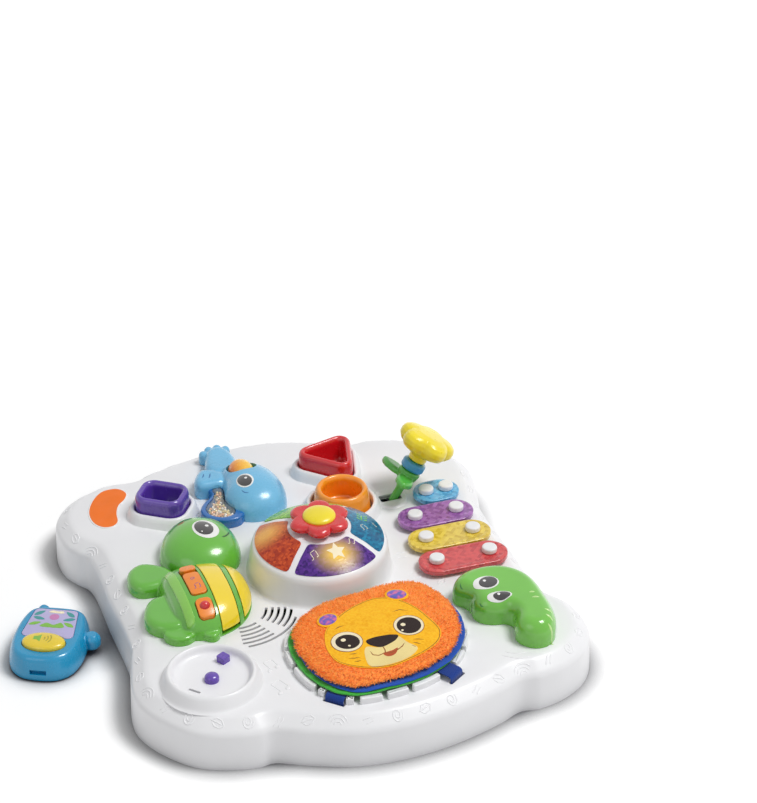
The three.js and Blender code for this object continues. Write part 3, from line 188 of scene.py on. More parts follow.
def loft_data(rings, low_cap=True, closed=False):
    """Faces between rings of equal count, with caps at the ends unless the last ring meets the first."""
    count = len(rings[0])
    verts = np.concatenate(rings)
    faces = []
    levels = len(rings) if closed else len(rings) - 1
    for level in range(levels):
        below, above = level * count, ((level + 1) % len(rings)) * count
        for i in range(count):
            j = (i + 1) % count
            faces.append((below + i, below + j, above + j, above + i))
    if low_cap and not closed:
        faces.append(tuple(range(count))[::-1])
    if not closed:
        faces.append(tuple(range((len(rings) - 1) * count, len(rings) * count)))
    return verts, faces


def ring(outline, z):
    return np.column_stack([outline, np.full(len(outline), z)])


def stack_data(outline, profile, shrink=inset, **caps):
    return loft_data([ring(shrink(outline, d), z) for d, z in profile], **caps)


def stack(name, outline, profile, look, body):
    return new_object(name, *stack_data(outline, profile), look, body)


def lathe_data(profile, count, x=0.0, y=0.0):
    return loft_data([ring(circle(r, count, x, y), z) for r, z in profile])


def lathe(name, profile, look, body, x, y, count=96):
    return new_object(name, *lathe_data(profile, count, x, y), look, body)


def joined(*parts):
    verts, faces, base = [], [], 0
    for part_verts, part_faces in parts:
        verts.append(np.array(part_verts, float))
        faces += [tuple(base + i for i in face) for face in part_faces]
        base += len(part_verts)
    return np.concatenate(verts), faces


def dome_data(outline, focus, foot, base, rise, levels=14, power=2.3):
    """A wall from foot to base under a dome that closes over the focus. A higher power is squarer."""
    rings = [ring(outline, foot), ring(outline, base)]
    focus = np.array(focus, float)
    for k in range(1, levels + 1):
        angle = (math.pi / 2) * k / (levels + 0.35)
        share, lift = math.cos(angle) ** (2 / power), math.sin(angle) ** (2 / power)
        rings.append(ring(focus + (outline - focus) * share, base + rise * lift))
    return loft_data(rings)


def pillow_data(outline, low, high, round_by, levels=8):
    """A flat form with a rounded upper edge."""
    profile = [(0, low)]
    for k in range(levels + 1):
        angle = (math.pi / 2) * k / levels
        profile.append((round_by * (1 - math.cos(angle)), high - round_by * (1 - math.sin(angle))))
    return stack_data(outline, profile, eased)


def evaluated(obj):
    bpy.context.view_layer.update()
    depsgraph = bpy.context.evaluated_depsgraph_get()
    return bpy.data.meshes.new_from_object(obj.evaluated_get(depsgraph))


def skinned(obj, voxel, passes=0):
    """Gives an object one even skin over all of its forms, and eases it."""
    remesh = obj.modifiers.new("skin", "REMESH")
    remesh.mode = "VOXEL"
    remesh.voxel_size = voxel * MM
    if passes:
        ease = obj.modifiers.new("ease", "SMOOTH")
        ease.factor = 0.5
        ease.iterations = passes


def cutter_on(obj, data, operation):
    """Sets one solid to work on an object. It is removed once the object is evaluated."""
    cutter = new_object(obj.name + "_cutter", *data, obj.data.materials[0], None)
    cutter.data.materials.clear()
    tool = obj.modifiers.new("cut", "BOOLEAN")
    tool.operation = operation
    tool.solver = "EXACT"
    tool.object = cutter
    return cutter


def moulded(name, raw, look, body):
    """Turns a working object into a finished piece."""
    mesh = evaluated(raw)
    bpy.data.objects.remove(raw)
    mesh.name = name
    mesh.materials.clear()
    return finish_object(name, mesh, look, body, 180.0)


# Voxel size and easing passes for the skin of each moulding.
GRAIN = {
    "lever_stalk": (0.8, 3), "lever_bloom": (0.7, 4), "turtle": (0.8, 3), "key_drop": (0.35, 3),
    "elephant": (0.9, 7), "bead_tray": (0.8, 3), "inchworm_moulding": (1.0, 9), "phone_shell": (0.7, 5),
}


def fused(name, parts, look, body):
    """Joins overlapping closed forms into one skin and eases it, as one moulding."""
    raw = new_object(name + "_raw", *joined(*parts), look, None)
    skinned(raw, *GRAIN[name])
    return moulded(name, raw, look, body)


def shaped(name, data, tool_data, look, body, voxel=0.5, passes=3):
    """What two forms share, skinned again so every edge is softly rounded."""
    raw = new_object(name + "_raw", *data, look, None)
    cutter = cutter_on(raw, tool_data, "INTERSECT")
    skinned(raw, voxel, passes)
    piece = moulded(name, raw, look, body)
    bpy.data.objects.remove(cutter)
    return piece


def carve(obj, data):
    """Takes a solid out of a piece."""
    cutter = cutter_on(obj, data, "DIFFERENCE")
    mesh, old = evaluated(obj), obj.data
    obj.modifiers.clear()
    obj.data = mesh
    bpy.data.meshes.remove(old)
    bpy.data.objects.remove(cutter)
    mesh.shade_smooth()
    mesh.set_sharp_from_angle(angle=math.radians(SHARP_DEGREES))


class Skin:
    """The upper surface of some pieces, to lay prints, eyes and lines on."""

    def __init__(self, *objects):
        verts, faces = [], []
        for obj in objects:
            base = len(verts)
            verts += [obj.matrix_world @ v.co for v in obj.data.vertices]
            faces += [tuple(base + i for i in p.vertices) for p in obj.data.polygons]
        self.tree = BVHTree.FromPolygons(verts, faces)

    def at(self, x, y):
        hit, normal, _, _ = self.tree.ray_cast(Vector((x * MM, y * MM, ABOVE_ALL)), Vector((0, 0, -1)))
        if hit is None:
            return Flat(TOP).at(x, y)
        normal = np.array(normal)
        return np.array(hit) / MM, normal if normal[2] > 0 else -normal


class Flat:
    """A level surface at one height."""

    def __init__(self, z):
        self.z = z

    def at(self, x, y):
        return np.array([x, y, self.z]), np.array([0.0, 0.0, 1.0])


class Lifted:
    """Another surface moved up."""

    def __init__(self, skin, lift):
        self.skin, self.lift = skin, lift

    def at(self, x, y):
        spot, normal = self.skin.at(x, y)
        return spot + normal * self.lift, normal


def patch(name, outline, skin, look, body, lift=0.25, crown=0.0, rings=8, sink=0.4):
    """A thin piece that follows a surface inside an outline, with a rounded rim and a slight crown."""
    centre = outline.mean(axis=0)
    loops = []
    shares = [1.0, 1.0] + [1 - (k + 1) / (rings + 1) for k in range(rings)]
    for level, share in enumerate(shares):
        high = lift * min(1, 0.6 + level * 0.25) + crown * (1 - share**2) if level else -sink
        rows = []
        for x, y in centre + (outline - centre) * share:
            spot, normal = skin.at(x, y)
            rows.append(spot + normal * high)
        loops.append(np.array(rows))
    return new_object(name, *loft_data(loops, low_cap=False), look, body, 60.0)


def strip_data(points, width, skin, height, taper=False, bury=0.1, root=0.4):
    """A raised line of half-round section along points on a surface."""
    line = even(np.array(points, float), max(6, 5 * len(points)), closed=False)
    loops = []
    for i, (x, y) in enumerate(line):
        before, after = line[max(i - 1, 0)], line[min(i + 1, len(line) - 1)]
        along = (after - before) / (np.linalg.norm(after - before) + TINY)
        share = i / (len(line) - 1)
        full_share = min(1.0, 6 * min(share, 1 - share) + 0.25)
        if taper:
            full_share = max(0.15, math.sin(math.pi * share))
        half = width / 2 * full_share
        spot, normal = skin.at(x, y)
        across = np.array([-along[1], along[0], 0.0])
        across -= normal * float(across @ normal)
        across /= np.linalg.norm(across)
        row = [spot + across * half * math.cos(a) + normal * (height * full_share * math.sin(a) - bury)
               for a in np.linspace(math.pi, 0, 7)]
        row.append(spot - normal * root)
        loops.append(np.array(row))
    return loft_data(loops)


def lines(name, strokes, skin, look, body, width=0.8, height=0.3, taper=False):
    parts = [strip_data(points, width, skin, height, taper) for points in strokes]
    return new_object(name, *joined(*parts), look, body, 60.0)


def tag(obj, slot, *nodes):
    """Hides the solids a piece stands for and returns the piece. The slot is not used."""
    if nodes:
        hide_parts(*nodes)
    return obj


def piece(name, data, look, slot, *nodes, body="table", smooth_angle=SHARP_DEGREES):
    """A new piece on its body, hiding the solids it stands for. The slot is not used."""
    return tag(new_object(name, *data, look, body, smooth_angle), slot, *nodes)


def arc(cx, cy, radius, start, end, count=14):
    angles = np.radians(np.linspace(start, end, count))
    return [(cx + radius * math.cos(a), cy + radius * math.sin(a)) for a in angles]


# Materials.
def srgb(red, green, blue):
    def linear(v):
        v /= 255
        return v / 12.92 if v <= 0.04045 else ((v + 0.055) / 1.055) ** 2.4
    return linear(red), linear(green), linear(blue), 1.0


class Paint:
    """One procedural material and short calls for its nodes."""

    def __init__(self, name, **sockets):
        self.mat = bpy.data.materials.new(name)
        self.mat.use_nodes = True
        self.tree = self.mat.node_tree
        self.shader = self.tree.nodes["Principled BSDF"]
        self.use(**sockets)
        self.place = self.tree.nodes.new("ShaderNodeTexCoord").outputs["Object"]

    def add(self, kind, settings=None, **links):
        node = self.tree.nodes.new(kind)
        for key, value in (settings or {}).items():
            setattr(node, key, value)
        for key, value in links.items():
            self.feed(node.inputs[key.replace("_", " ")], value)
        return node

    def feed(self, socket, value):
        if isinstance(value, bpy.types.NodeSocket):
            self.tree.links.new(value, socket)
        else:
            socket.default_value = value

    def noise(self, size, detail=3.0):
        node = self.add("ShaderNodeTexNoise", Vector=self.place, Scale=1 / (size * MM), Detail=detail)
        return node.outputs["Fac"]

    def cells(self, size, where=None, randomness=1.0):
        return self.add("ShaderNodeTexVoronoi", Vector=where or self.place, Scale=1 / (size * MM),
                        Randomness=randomness)

    def spread(self, value, low, high, from_low=0.3, from_high=0.7):
        node = self.add("ShaderNodeMapRange", Value=value, From_Min=from_low, From_Max=from_high,
                        To_Min=low, To_Max=high)
        return node.outputs["Result"]

    def maths(self, operation, first, second):
        node = self.add("ShaderNodeMath", {"operation": operation})
        self.feed(node.inputs[0], first)
        self.feed(node.inputs[1], second)
        return node.outputs[0]

    def blend(self, share, first, second):
        node = self.add("ShaderNodeMix", {"data_type": "RGBA"})
        self.feed(node.inputs[0], share)
        self.feed(node.inputs[6], first)
        self.feed(node.inputs[7], second)
        return node.outputs[2]

    def ramp(self, share, stops):
        node = self.tree.nodes.new("ShaderNodeValToRGB")
        elements = node.color_ramp.elements
        for index, (position, colour) in enumerate(stops):
            element = elements[index] if index < 2 else elements.new(position)
            element.position = position
            element.color = colour
        self.feed(node.inputs[0], share)
        return node.outputs["Color"]

    def distance(self, x, y, z, squash=(1, 1, 1)):
        """Distance in millimetres from a point, with the axes squashed."""
        shift = self.add("ShaderNodeMapping", {"vector_type": "POINT"}, Vector=self.place,
                         Location=[-c * s for c, s in zip((x, y, z), squash)], Scale=[s / MM for s in squash])
        length = self.add("ShaderNodeVectorMath", {"operation": "LENGTH"})
        self.feed(length.inputs[0], shift.outputs[0])
        return length.outputs["Value"]

    def bump(self, height, depth, strength):
        node = self.add("ShaderNodeBump", Strength=strength, Distance=depth * MM, Height=height)
        return node.outputs["Normal"]

    def use(self, **outputs):
        for key, value in outputs.items():
            self.feed(self.shader.inputs[key.replace("_", " ")], value)
        return self.mat


def dim(colour, factor):
    return tuple(c * factor for c in colour[:3]) + (1.0,)


def plastic(name, colour, rough=0.3, coat=0.25, texture=0.05, depth_share=0.9):
    """Moulded plastic: faint cloudy colour, uneven gloss and a fine orange-peel skin."""
    paint = Paint(name, Coat_Weight=coat, Coat_Roughness=0.12, Specular_IOR_Level=0.5)
    cloud = paint.noise(38, 3)
    base = paint.blend(paint.spread(cloud, 0, 1), dim(colour, depth_share), colour)
    gloss = paint.spread(paint.noise(9, 4), rough * 0.85, rough * 1.2)
    skin = paint.bump(paint.noise(0.9, 2), texture, 0.5)
    return paint.use(Base_Color=base, Roughness=gloss, Normal=skin)


def glitter(name, colour, bright, size=3.2, rough=0.26):
    """Tinted clear plastic with a pressed mosaic of diamonds underneath."""
    paint = Paint(name, Coat_Weight=0.6, Coat_Roughness=0.06)
    turned = paint.add("ShaderNodeMapping", Vector=paint.place)
    turned.inputs["Rotation"].default_value = (0, 0, math.radians(45))
    tiles = paint.cells(size, where=turned.outputs[0], randomness=0.0)
    tone = paint.add("ShaderNodeSeparateColor", Color=tiles.outputs["Color"]).outputs[0]
    base = paint.blend(paint.spread(tone, 0, 1, 0.0, 1.0), dim(colour, 0.78), bright)
    cloud = paint.noise(14, 2)
    base = paint.blend(paint.spread(cloud, 0, 0.35), base, dim(colour, 0.9))
    edges = paint.spread(tiles.outputs["Distance"], 1, 0, 0.0, 0.6)
    skin = paint.bump(edges, 0.18, 0.6)
    gloss = paint.spread(tone, rough * 0.7, rough * 1.5, 0.0, 1.0)
    return paint.use(Base_Color=base, Roughness=gloss, Normal=skin)


def cloth(name, colour, thread=0.55, rough=0.85, sheen=0.3, turns=6.3):
    """Plain woven cloth: crossed threads over a colour that fades in clouds."""
    paint = Paint(name, Sheen_Weight=sheen, Sheen_Roughness=0.5, Specular_IOR_Level=0.2)
    weft, warp = [
        paint.add("ShaderNodeTexWave", {"bands_direction": axis}, Vector=paint.place,
                  Scale=1 / (thread * MM) / turns, Distortion=0.4).outputs["Fac"] for axis in "XY"]
    weave = paint.maths("MAXIMUM", weft, warp)
    fade = paint.noise(22, 4)
    base = paint.blend(paint.spread(weave, 0, 1, 0.2, 0.9), dim(colour, 0.72), colour)
    base = paint.blend(paint.spread(fade, 0, 0.4), base, dim(colour, 1.25))
    return paint.use(Base_Color=base, Roughness=paint.spread(fade, rough * 0.92, rough * 1.08),
                     Normal=paint.bump(weave, 0.15, 0.7))


def fur(name, root, tip, sheen=0.5):
    paint = Paint(name, Sheen_Weight=sheen, Sheen_Roughness=0.4, Specular_IOR_Level=0.15, Roughness=0.9)
    streak = paint.noise(2.2, 5)
    swirl = paint.noise(17, 4)
    base = paint.blend(paint.spread(streak, 0, 1, 0.35, 0.65), root, tip)
    base = paint.blend(paint.spread(swirl, 0, 0.45), base, dim(tip, 1.12))
    return paint.use(Base_Color=base, Normal=paint.bump(streak, 0.5, 0.6))


WHITE = srgb(238, 238, 240)
white = plastic("white_plastic", WHITE, rough=0.36, coat=0.15, texture=0.03, depth_share=0.97)
under_white = plastic("underside_white", srgb(226, 226, 228), rough=0.5, coat=0.0, texture=0.08)
purple = plastic("purple_plastic", srgb(94, 60, 170), rough=0.25, coat=0.5)
red = plastic("red_plastic", srgb(216, 26, 36), rough=0.25, coat=0.5)
orange = plastic("orange_plastic", srgb(252, 156, 28), coat=0.4)
key_orange = plastic("key_orange", srgb(246, 140, 36))
yellow = plastic("yellow_plastic", srgb(246, 224, 30))
turtle_green = plastic("turtle_green", srgb(100, 184, 50), rough=0.22, coat=0.6)
worm_green = plastic("worm_green", srgb(112, 194, 60), rough=0.2, coat=0.6)
# A pale green that paints the highlights along the worm's side.
worm_highlight_paint = plastic("worm_highlight_paint", srgb(190, 232, 140), rough=0.2, coat=0.5)
leaf_green = plastic("leaf_green", srgb(84, 186, 66))
dark_green = plastic("dark_green", srgb(44, 128, 44))
turtle_light = plastic("turtle_light", srgb(140, 208, 82), rough=0.25, coat=0.4)
# A dark green that paints the shade in the turtle's smile crease.
turtle_crease_shade = plastic("turtle_crease_shade", srgb(40, 92, 28), rough=0.5, coat=0.1)
brick = plastic("brick_red", srgb(150, 70, 40), rough=0.4, coat=0.2)
# A dark blue for the elephant's smile line and for the painted shade in the trunk's folds.
elephant_smile_and_fold_shade = plastic("elephant_smile_and_fold_shade", srgb(46, 110, 168), rough=0.4, coat=0.2)
elephant_blue = plastic("elephant_blue", srgb(112, 188, 228), rough=0.27, coat=0.35)
tray_blue = plastic("tray_blue", srgb(24, 106, 182), rough=0.25, coat=0.5)
lever_blue = plastic("lever_blue", srgb(60, 160, 215))
phone_blue = plastic("phone_blue", srgb(10, 148, 196), rough=0.25, coat=0.4)
label_orange = plastic("label_orange", srgb(248, 118, 14), rough=0.5, coat=0.0)
eye_white = plastic("eye_white", srgb(244, 244, 242), rough=0.2, coat=0.5)
eye_dark = plastic("eye_dark", srgb(38, 34, 36), rough=0.12, coat=0.8)
print_purple = plastic("print_purple", srgb(112, 60, 150), rough=0.5, coat=0.1)
cream_print = plastic("cream_print", srgb(254, 242, 206), rough=0.5, coat=0.1)
bar_looks = {
    "red": glitter("bar_red_clear", srgb(204, 44, 54), srgb(222, 80, 80)),
    "yellow": glitter("bar_yellow_clear", srgb(226, 190, 44), srgb(240, 214, 88)),
    "purple": glitter("bar_purple_clear", srgb(142, 78, 160), srgb(174, 112, 188)),
    "blue": glitter("bar_blue_clear", srgb(70, 164, 218), srgb(116, 194, 232)),
}
band_yellow = plastic("band_yellow", srgb(250, 220, 30), rough=0.2, coat=0.6)


def lens_look(name, colour, bright, painted_glow_colour, painted_glow_at=None):
    """Tinted lens over a pressed mosaic, with a painted warm glow in its colour round one point where one is
    given.
    """
    paint = Paint(name, Coat_Weight=0.12, Coat_Roughness=0.2, Specular_IOR_Level=0.2)
    tiles = paint.cells(2.4)
    tone = paint.add("ShaderNodeSeparateColor", Color=tiles.outputs["Color"]).outputs[0]
    base = paint.blend(paint.spread(tone, 0, 1, 0.1, 0.9), dim(colour, 0.8), bright)
    # Painted glow: the base colour turns warm towards one point, standing in for light.
    if painted_glow_at:
        away = paint.distance(*painted_glow_at, squash=(1, 1.15, 1))
        painted_light_share = paint.spread(away, 1, 0, 6, 27)
        painted_light_share = paint.maths("POWER", painted_light_share, 1.4)
        base = paint.blend(painted_light_share, base, painted_glow_colour)
    edges = paint.spread(tiles.outputs["Distance"], 1, 0, 0.0, 0.6)
    return paint.use(Base_Color=base, Roughness=paint.spread(tone, 0.12, 0.3, 0, 1),
                     Normal=paint.bump(edges, 0.12, 0.5))


clear = Paint("clear_window", Alpha=0.1, Roughness=0.05, Coat_Weight=0.8, Coat_Roughness=0.03)
clear_look = clear.use(Base_Color=clear.blend(clear.spread(clear.noise(20), 0, 0.2), srgb(246, 250, 250),
                                              srgb(226, 238, 244)))
blue_cloth = cloth("blue_cloth", srgb(28, 84, 184))
strap_blue = cloth("strap_blue", srgb(22, 58, 138), thread=0.8)
green_cloth = cloth("green_cloth", srgb(70, 184, 66))
mane_fur = fur("mane_fur", srgb(255, 132, 40), srgb(255, 176, 86))
mane_base = fur("mane_base", srgb(250, 126, 40), srgb(255, 164, 80))
face_fur = fur("face_fur", srgb(244, 168, 18), srgb(254, 196, 44), sheen=0.3)
muzzle_cloth = cloth("muzzle_cloth", srgb(246, 224, 152), thread=0.4)
cream_cloth = cloth("cream_cloth", srgb(250, 236, 200), thread=0.4)
nose_cloth = cloth("nose_cloth", srgb(44, 32, 30), thread=0.4, sheen=0.1)
mouth_cloth = cloth("mouth_cloth", srgb(190, 84, 40), thread=0.4)
stitch_brown = cloth("stitch_brown", srgb(150, 84, 30), thread=0.3)
panel_lilac = plastic("panel_lilac", srgb(186, 178, 222), rough=0.3, coat=0.4)
print_teal = plastic("print_teal", srgb(52, 150, 150), rough=0.35, coat=0.3)
print_green = plastic("print_green", srgb(126, 190, 60), rough=0.35, coat=0.3)
print_rose = plastic("print_rose", srgb(206, 130, 186), rough=0.35, coat=0.3)
key_olive = plastic("key_olive", srgb(176, 164, 40), rough=0.4, coat=0.2)
phone_yellow = plastic("phone_yellow", srgb(240, 210, 44), rough=0.25, coat=0.4)
board_green = plastic("board_green", srgb(40, 110, 66), rough=0.45)
black_paper = plastic("black_paper", srgb(44, 44, 46), rough=0.8, coat=0.0, texture=0.3)
rubber_grey = plastic("rubber_grey", srgb(92, 92, 96), rough=0.75, coat=0.0, texture=0.2)
cell_wrap = plastic("cell_wrap", srgb(70, 92, 110), rough=0.3, coat=0.4)


def satin_look():
    """Shiny woven satin whose colour wanders between violet, blue and rose."""
    paint = Paint("ear_satin", Roughness=0.28, Sheen_Weight=0.4, Coat_Weight=0.3)
    streak = paint.noise(4.5, 2)
    stops = [(0.38, srgb(60, 70, 180)), (0.64, srgb(214, 92, 150)), (0.5, srgb(126, 66, 184))]
    return paint.use(Base_Color=paint.ramp(streak, stops), Normal=paint.bump(paint.noise(1.1, 2), 0.1, 0.5))


ear_satin = satin_look()


def roller_look():
    """Clear amber that runs from orange to yellow across the roller."""
    paint = Paint("roller_amber", Coat_Weight=0.35, Coat_Roughness=0.06)
    across = paint.spread(paint.distance(-34, 149, 66), 0, 1, 6, 22)
    base = paint.blend(across, srgb(240, 116, 8), srgb(250, 202, 56))
    streak = paint.noise(3, 3)
    base = paint.blend(paint.spread(streak, 0, 0.2), base, srgb(255, 226, 120))
    return paint.use(Base_Color=base, Roughness=paint.spread(streak, 0.15, 0.3))


roller_amber = roller_look()


def steel_look():
    paint = Paint("bright_steel", Metallic=1.0)
    grain = paint.noise(1.6, 4)
    base = paint.blend(paint.spread(grain, 0, 1), srgb(176, 178, 182), srgb(206, 208, 212))
    return paint.use(Base_Color=base, Roughness=paint.spread(grain, 0.24, 0.42))


steel = steel_look()

# White top.
HALF_PLAN = [
    (-188, -48), (-192, -62), (-203, -107), (-202, -128), (-190, -155), (-166, -183), (-134, -197),
    (-117, -200), (-105, -199), (-79, -212), (-40, -228), (0, -233), (45, -230), (94, -218),
    (117, -209), (135, -211), (160, -206), (186, -191), (203, -165), (204, -128), (196, -110),
    (188, -97), (187, -25),
]
plan = smooth(HALF_PLAN + [(-x, -y) for x, y in HALF_PLAN], 560)
SHELL_OUTSIDE = [(0.3, 0), (1.6, 33.8), (3.2, 37.2), (13.8, 45.6), (19, TOP)]
SHELL_INSIDE = [(18.4, 44.4), (5, 34.4), (2.9, 7), (2.6, 0.5)]
BOSS_PROFILE = [(20, 46), (17, 47.4), (15.5, 49), (0.5, 49)]
DISH = (-137, -131)
DISH_PROFILE = [
    (46, 46), (43.4, 47.4), (41, 53), (39, 57.4), (36.6, 59), (34.6, 57.4), (32.4, 52.2), (28, 51), (0.5, 51),
]
DRUM_PROFILE = [
    (69, 46), (65.6, 48.2), (62.6, 71.6), (60.5, 76), (45, 84.8), (29.5, 90.6), (27, 92), (0.5, 92),
]
GRILLE = {"x": -89, "y": -39, "first": 29.4, "pitch": 5.6, "rows": 5, "width": 2.5}
GRILLE_GROUPS = [(-98, -64), (-50, -16)]
LAST_ROW = (-94, -32)
STRAPS = {"left": (-47.4, -193.4, 225), "right": (58.2, -198.4, 303)}
STRAP_SLOT = {"out": 3.1, "width": 3.4, "length": 20, "corner": 1}
LEVER = {"x": 105, "y": 78, "z": 41, "lean": 31}
LEVER_SLOT = {"width": 21.2, "depth": 11.2, "corner": 2}
WALL_SLOT = {"width": 11.4, "depth": 2.4, "corner": 1, "turn": -48, "x": -156, "y": -144}
CUP_ROOM = 0.7
GRILLE_CUT, STRAP_CUT, OPENING_CUT = (43, 50), (30, 50), (30, 60)

# Plans of the three cups: their size with the corner, their turn and their middle.
SQUARE = {"size": (48, 39, 13), "place": (-36, -105, 131)}
TRIANGLE = {"reach": 42, "corner": 11, "turn": 164, "middle": (68, 144)}
RING = {"radius": 28.5, "middle": (56, 78)}
CUP_POINTS = 160
square_plan = even(turn(box_outline(*SQUARE["size"]), *SQUARE["place"]), CUP_POINTS)
triangle_corners = [turn([(TRIANGLE["reach"], 0)], TRIANGLE["turn"] + 120 * k, *TRIANGLE["middle"])[0]
                    for k in range(3)]
triangle_plan = even(rounded(triangle_corners, TRIANGLE["corner"]), CUP_POINTS)
ring_plan = circle(RING["radius"], CUP_POINTS, *RING["middle"])


def prism_data(outline, low=51.0, high=90.0):
    return stack_data(outline, [(0, low), (0, high)])


def arc_slot(radius, start, end):
    """One curved speaker slot."""
    half = GRILLE["width"] / 2
    outer = arc(GRILLE["x"], GRILLE["y"], radius + half, start, end, 16)
    inner = arc(GRILLE["x"], GRILLE["y"], radius - half, start, end, 16)
    return prism_data(np.array(outer + inner[::-1]), *GRILLE_CUT)


def shell_cuts():
    """The speaker slots, the strap slots, the lever's slot, the wall slot and the cups' openings."""
    radii = [GRILLE["first"] + GRILLE["pitch"] * row for row in range(GRILLE["rows"] + 1)]
    cuts = [arc_slot(radius, *span) for radius in radii[:-1] for span in GRILLE_GROUPS]
    cuts.append(arc_slot(radii[-1], *LAST_ROW))
    strap_slot = box_outline(STRAP_SLOT["width"], STRAP_SLOT["length"], STRAP_SLOT["corner"])
    for x, y, degrees in STRAPS.values():
        middle = turn([(STRAP_SLOT["out"], 0)], degrees, x, y)[0]
        cuts.append(prism_data(turn(strap_slot, degrees, *middle), *STRAP_CUT))
    lever_slot = box_outline(LEVER_SLOT["width"], LEVER_SLOT["depth"], LEVER_SLOT["corner"])
    wall_slot = box_outline(WALL_SLOT["width"], WALL_SLOT["depth"], WALL_SLOT["corner"])
    openings = [lever_slot + [LEVER["x"], LEVER["y"]],
                turn(wall_slot, WALL_SLOT["turn"], WALL_SLOT["x"], WALL_SLOT["y"])]
    openings += [inset(outline, -CUP_ROOM) for outline in (square_plan, triangle_plan, ring_plan)]
    return joined(*cuts, *[prism_data(outline, *OPENING_CUT) for outline in openings])


def white_top():
    shell = stack("top_moulding", plan, SHELL_INSIDE + soften(SHELL_OUTSIDE, 2.2, 6), white, "table")
    boss = lathe("lever_boss", soften(BOSS_PROFILE, 1.2), white, "table", LEVER["x"], LEVER["y"])
    dish = lathe("dish", soften(DISH_PROFILE, 2.4), white, "table", *DISH)
    cuts = shell_cuts()
    for part in (shell, boss, dish):
        carve(part, cuts)
    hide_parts("top_shell")
    return shell


top = white_top()
drum = lathe("drum", soften(DRUM_PROFILE, 3), white, "table", *DRUM, count=160)
drum_skin = Skin(drum)

# Ring of light lenses round the drum, with a narrow spoke between two of them.
LENS_REACH = (58.6, 29.0)
HALF_SPOKE = 3
# Each lens: its colour name, two mosaic tones, and the colour and point of a painted warm glow (white and
# none where there is no glow).
LENSES = {
    "right": ("blue", srgb(6, 96, 142), srgb(22, 130, 168), WHITE, None),
    "back": ("green", srgb(96, 176, 44), srgb(150, 210, 80), WHITE, None),
    "left": ("red", srgb(178, 48, 24), srgb(208, 84, 38), srgb(240, 176, 84), (-42, 12, 84)),
    "front": ("purple", srgb(62, 26, 116), srgb(92, 48, 146), srgb(250, 206, 90), (8, -44, 84)),
}


def lens_outline(quarter):
    points = []
    for radius, order in zip(LENS_REACH, (1, -1)):
        edge = math.pi / 4 - math.asin(HALF_SPOKE / radius)
        sweep = np.linspace(-edge, edge, 40)[::order] + quarter * math.pi / 2
        points += [(radius * math.cos(a), radius * math.sin(a)) for a in sweep]
    return calm(even(np.array(points), 150), 8) + DRUM


def drum_lens(quarter, side, colour, *shades):
    look = lens_look(f"lens_{colour}", *shades)
    outline = lens_outline(quarter)
    lens = patch(f"lens_{side}", outline, drum_skin, look, "table", lift=0.7, rings=12, sink=0.6)
    return tag(lens, f"{colour}_lens", f"drum_lens_{side}")


lenses = [drum_lens(quarter, side, *spec) for quarter, (side, spec) in enumerate(LENSES.items())]
lens_skin = Skin(drum, *lenses)


def note_strokes(x, y, size, degrees=0.0, pair=True):
    """One or two quavers: round heads, stems and a beam, as shares of the size."""
    strokes = []
    heads = [(-0.32, -0.5), (0.32, -0.42)] if pair else [(0, -0.5)]
    for hx, hy in heads:
        strokes.append([(hx - 0.13, hy), (hx + 0.02, hy + 0.05), (hx + 0.13, hy + 0.02)])
        strokes.append([(hx + 0.13, hy), (hx + 0.13, 0.25), (hx + 0.13, 0.5)])
    start = (heads[0][0] + 0.13, 0.48)
    end = (heads[-1][0] + 0.13, 0.56) if pair else (heads[-1][0] + 0.4, 0.3)
    strokes.append([start, ((start[0] + end[0]) / 2, 0.5), end])
    return [turn(np.array(s) * size, degrees, x, y) for s in strokes]


def star(x, y, reach, points=5, waist_share=0.5):
    corners = []
    for k in range(2 * points):
        angle = math.radians(90 + 180 * k / points)
        out = reach * (waist_share if k % 2 else 1)
        corners.append((x + out * math.cos(angle), y + out * math.sin(angle)))
    return np.array(corners)


def sprig(x, y, size, degrees=0.0, pairs=3):
    """A stalk with pairs of leaves, as shares of the size."""
    strokes = [[(-0.5, 0), (0, 0.06), (0.5, 0)]]
    for k in range(pairs):
        root = -0.3 + 0.3 * k
        strokes.append([(root, 0.03), (root + 0.12, 0.24), (root + 0.3, 0.3)])
        strokes.append([(root, 0.0), (root + 0.12, -0.2), (root + 0.3, -0.26)])
    return [turn(np.array(s) * size, degrees, x, y) for s in strokes]


def spiral(x, y, size, turns=1.8):
    angles = np.linspace(0, 2 * math.pi * turns, 22)
    return [(x + size * 0.5 * (a / angles[-1]) * math.cos(a),
             y + size * 0.5 * (a / angles[-1]) * math.sin(a)) for a in angles]


FRONT_NOTES = note_strokes(-13, -40, 8, 10) + note_strokes(25, -33, 7, -12)
RIGHT_NOTES = note_strokes(44, -14, 7, 20) + note_strokes(57, -6, 6, 30, False)
LENS_PRINTS = {
    "front_notes": (FRONT_NOTES, cream_print, 0.9, 0.15),
    "right_print": (sprig(49, 3, 17, 70), leaf_green, 2.2, 0.25, True),
    "right_notes": (RIGHT_NOTES, cream_print, 0.8, 0.15),
}
patch("front_print", even(star(8, -42, 9), 60), lens_skin, cream_print, "table", lift=0.12, rings=3, sink=0.1)
for name, (strokes, look, *size) in LENS_PRINTS.items():
    lines(name, strokes, lens_skin, look, "table", *size)

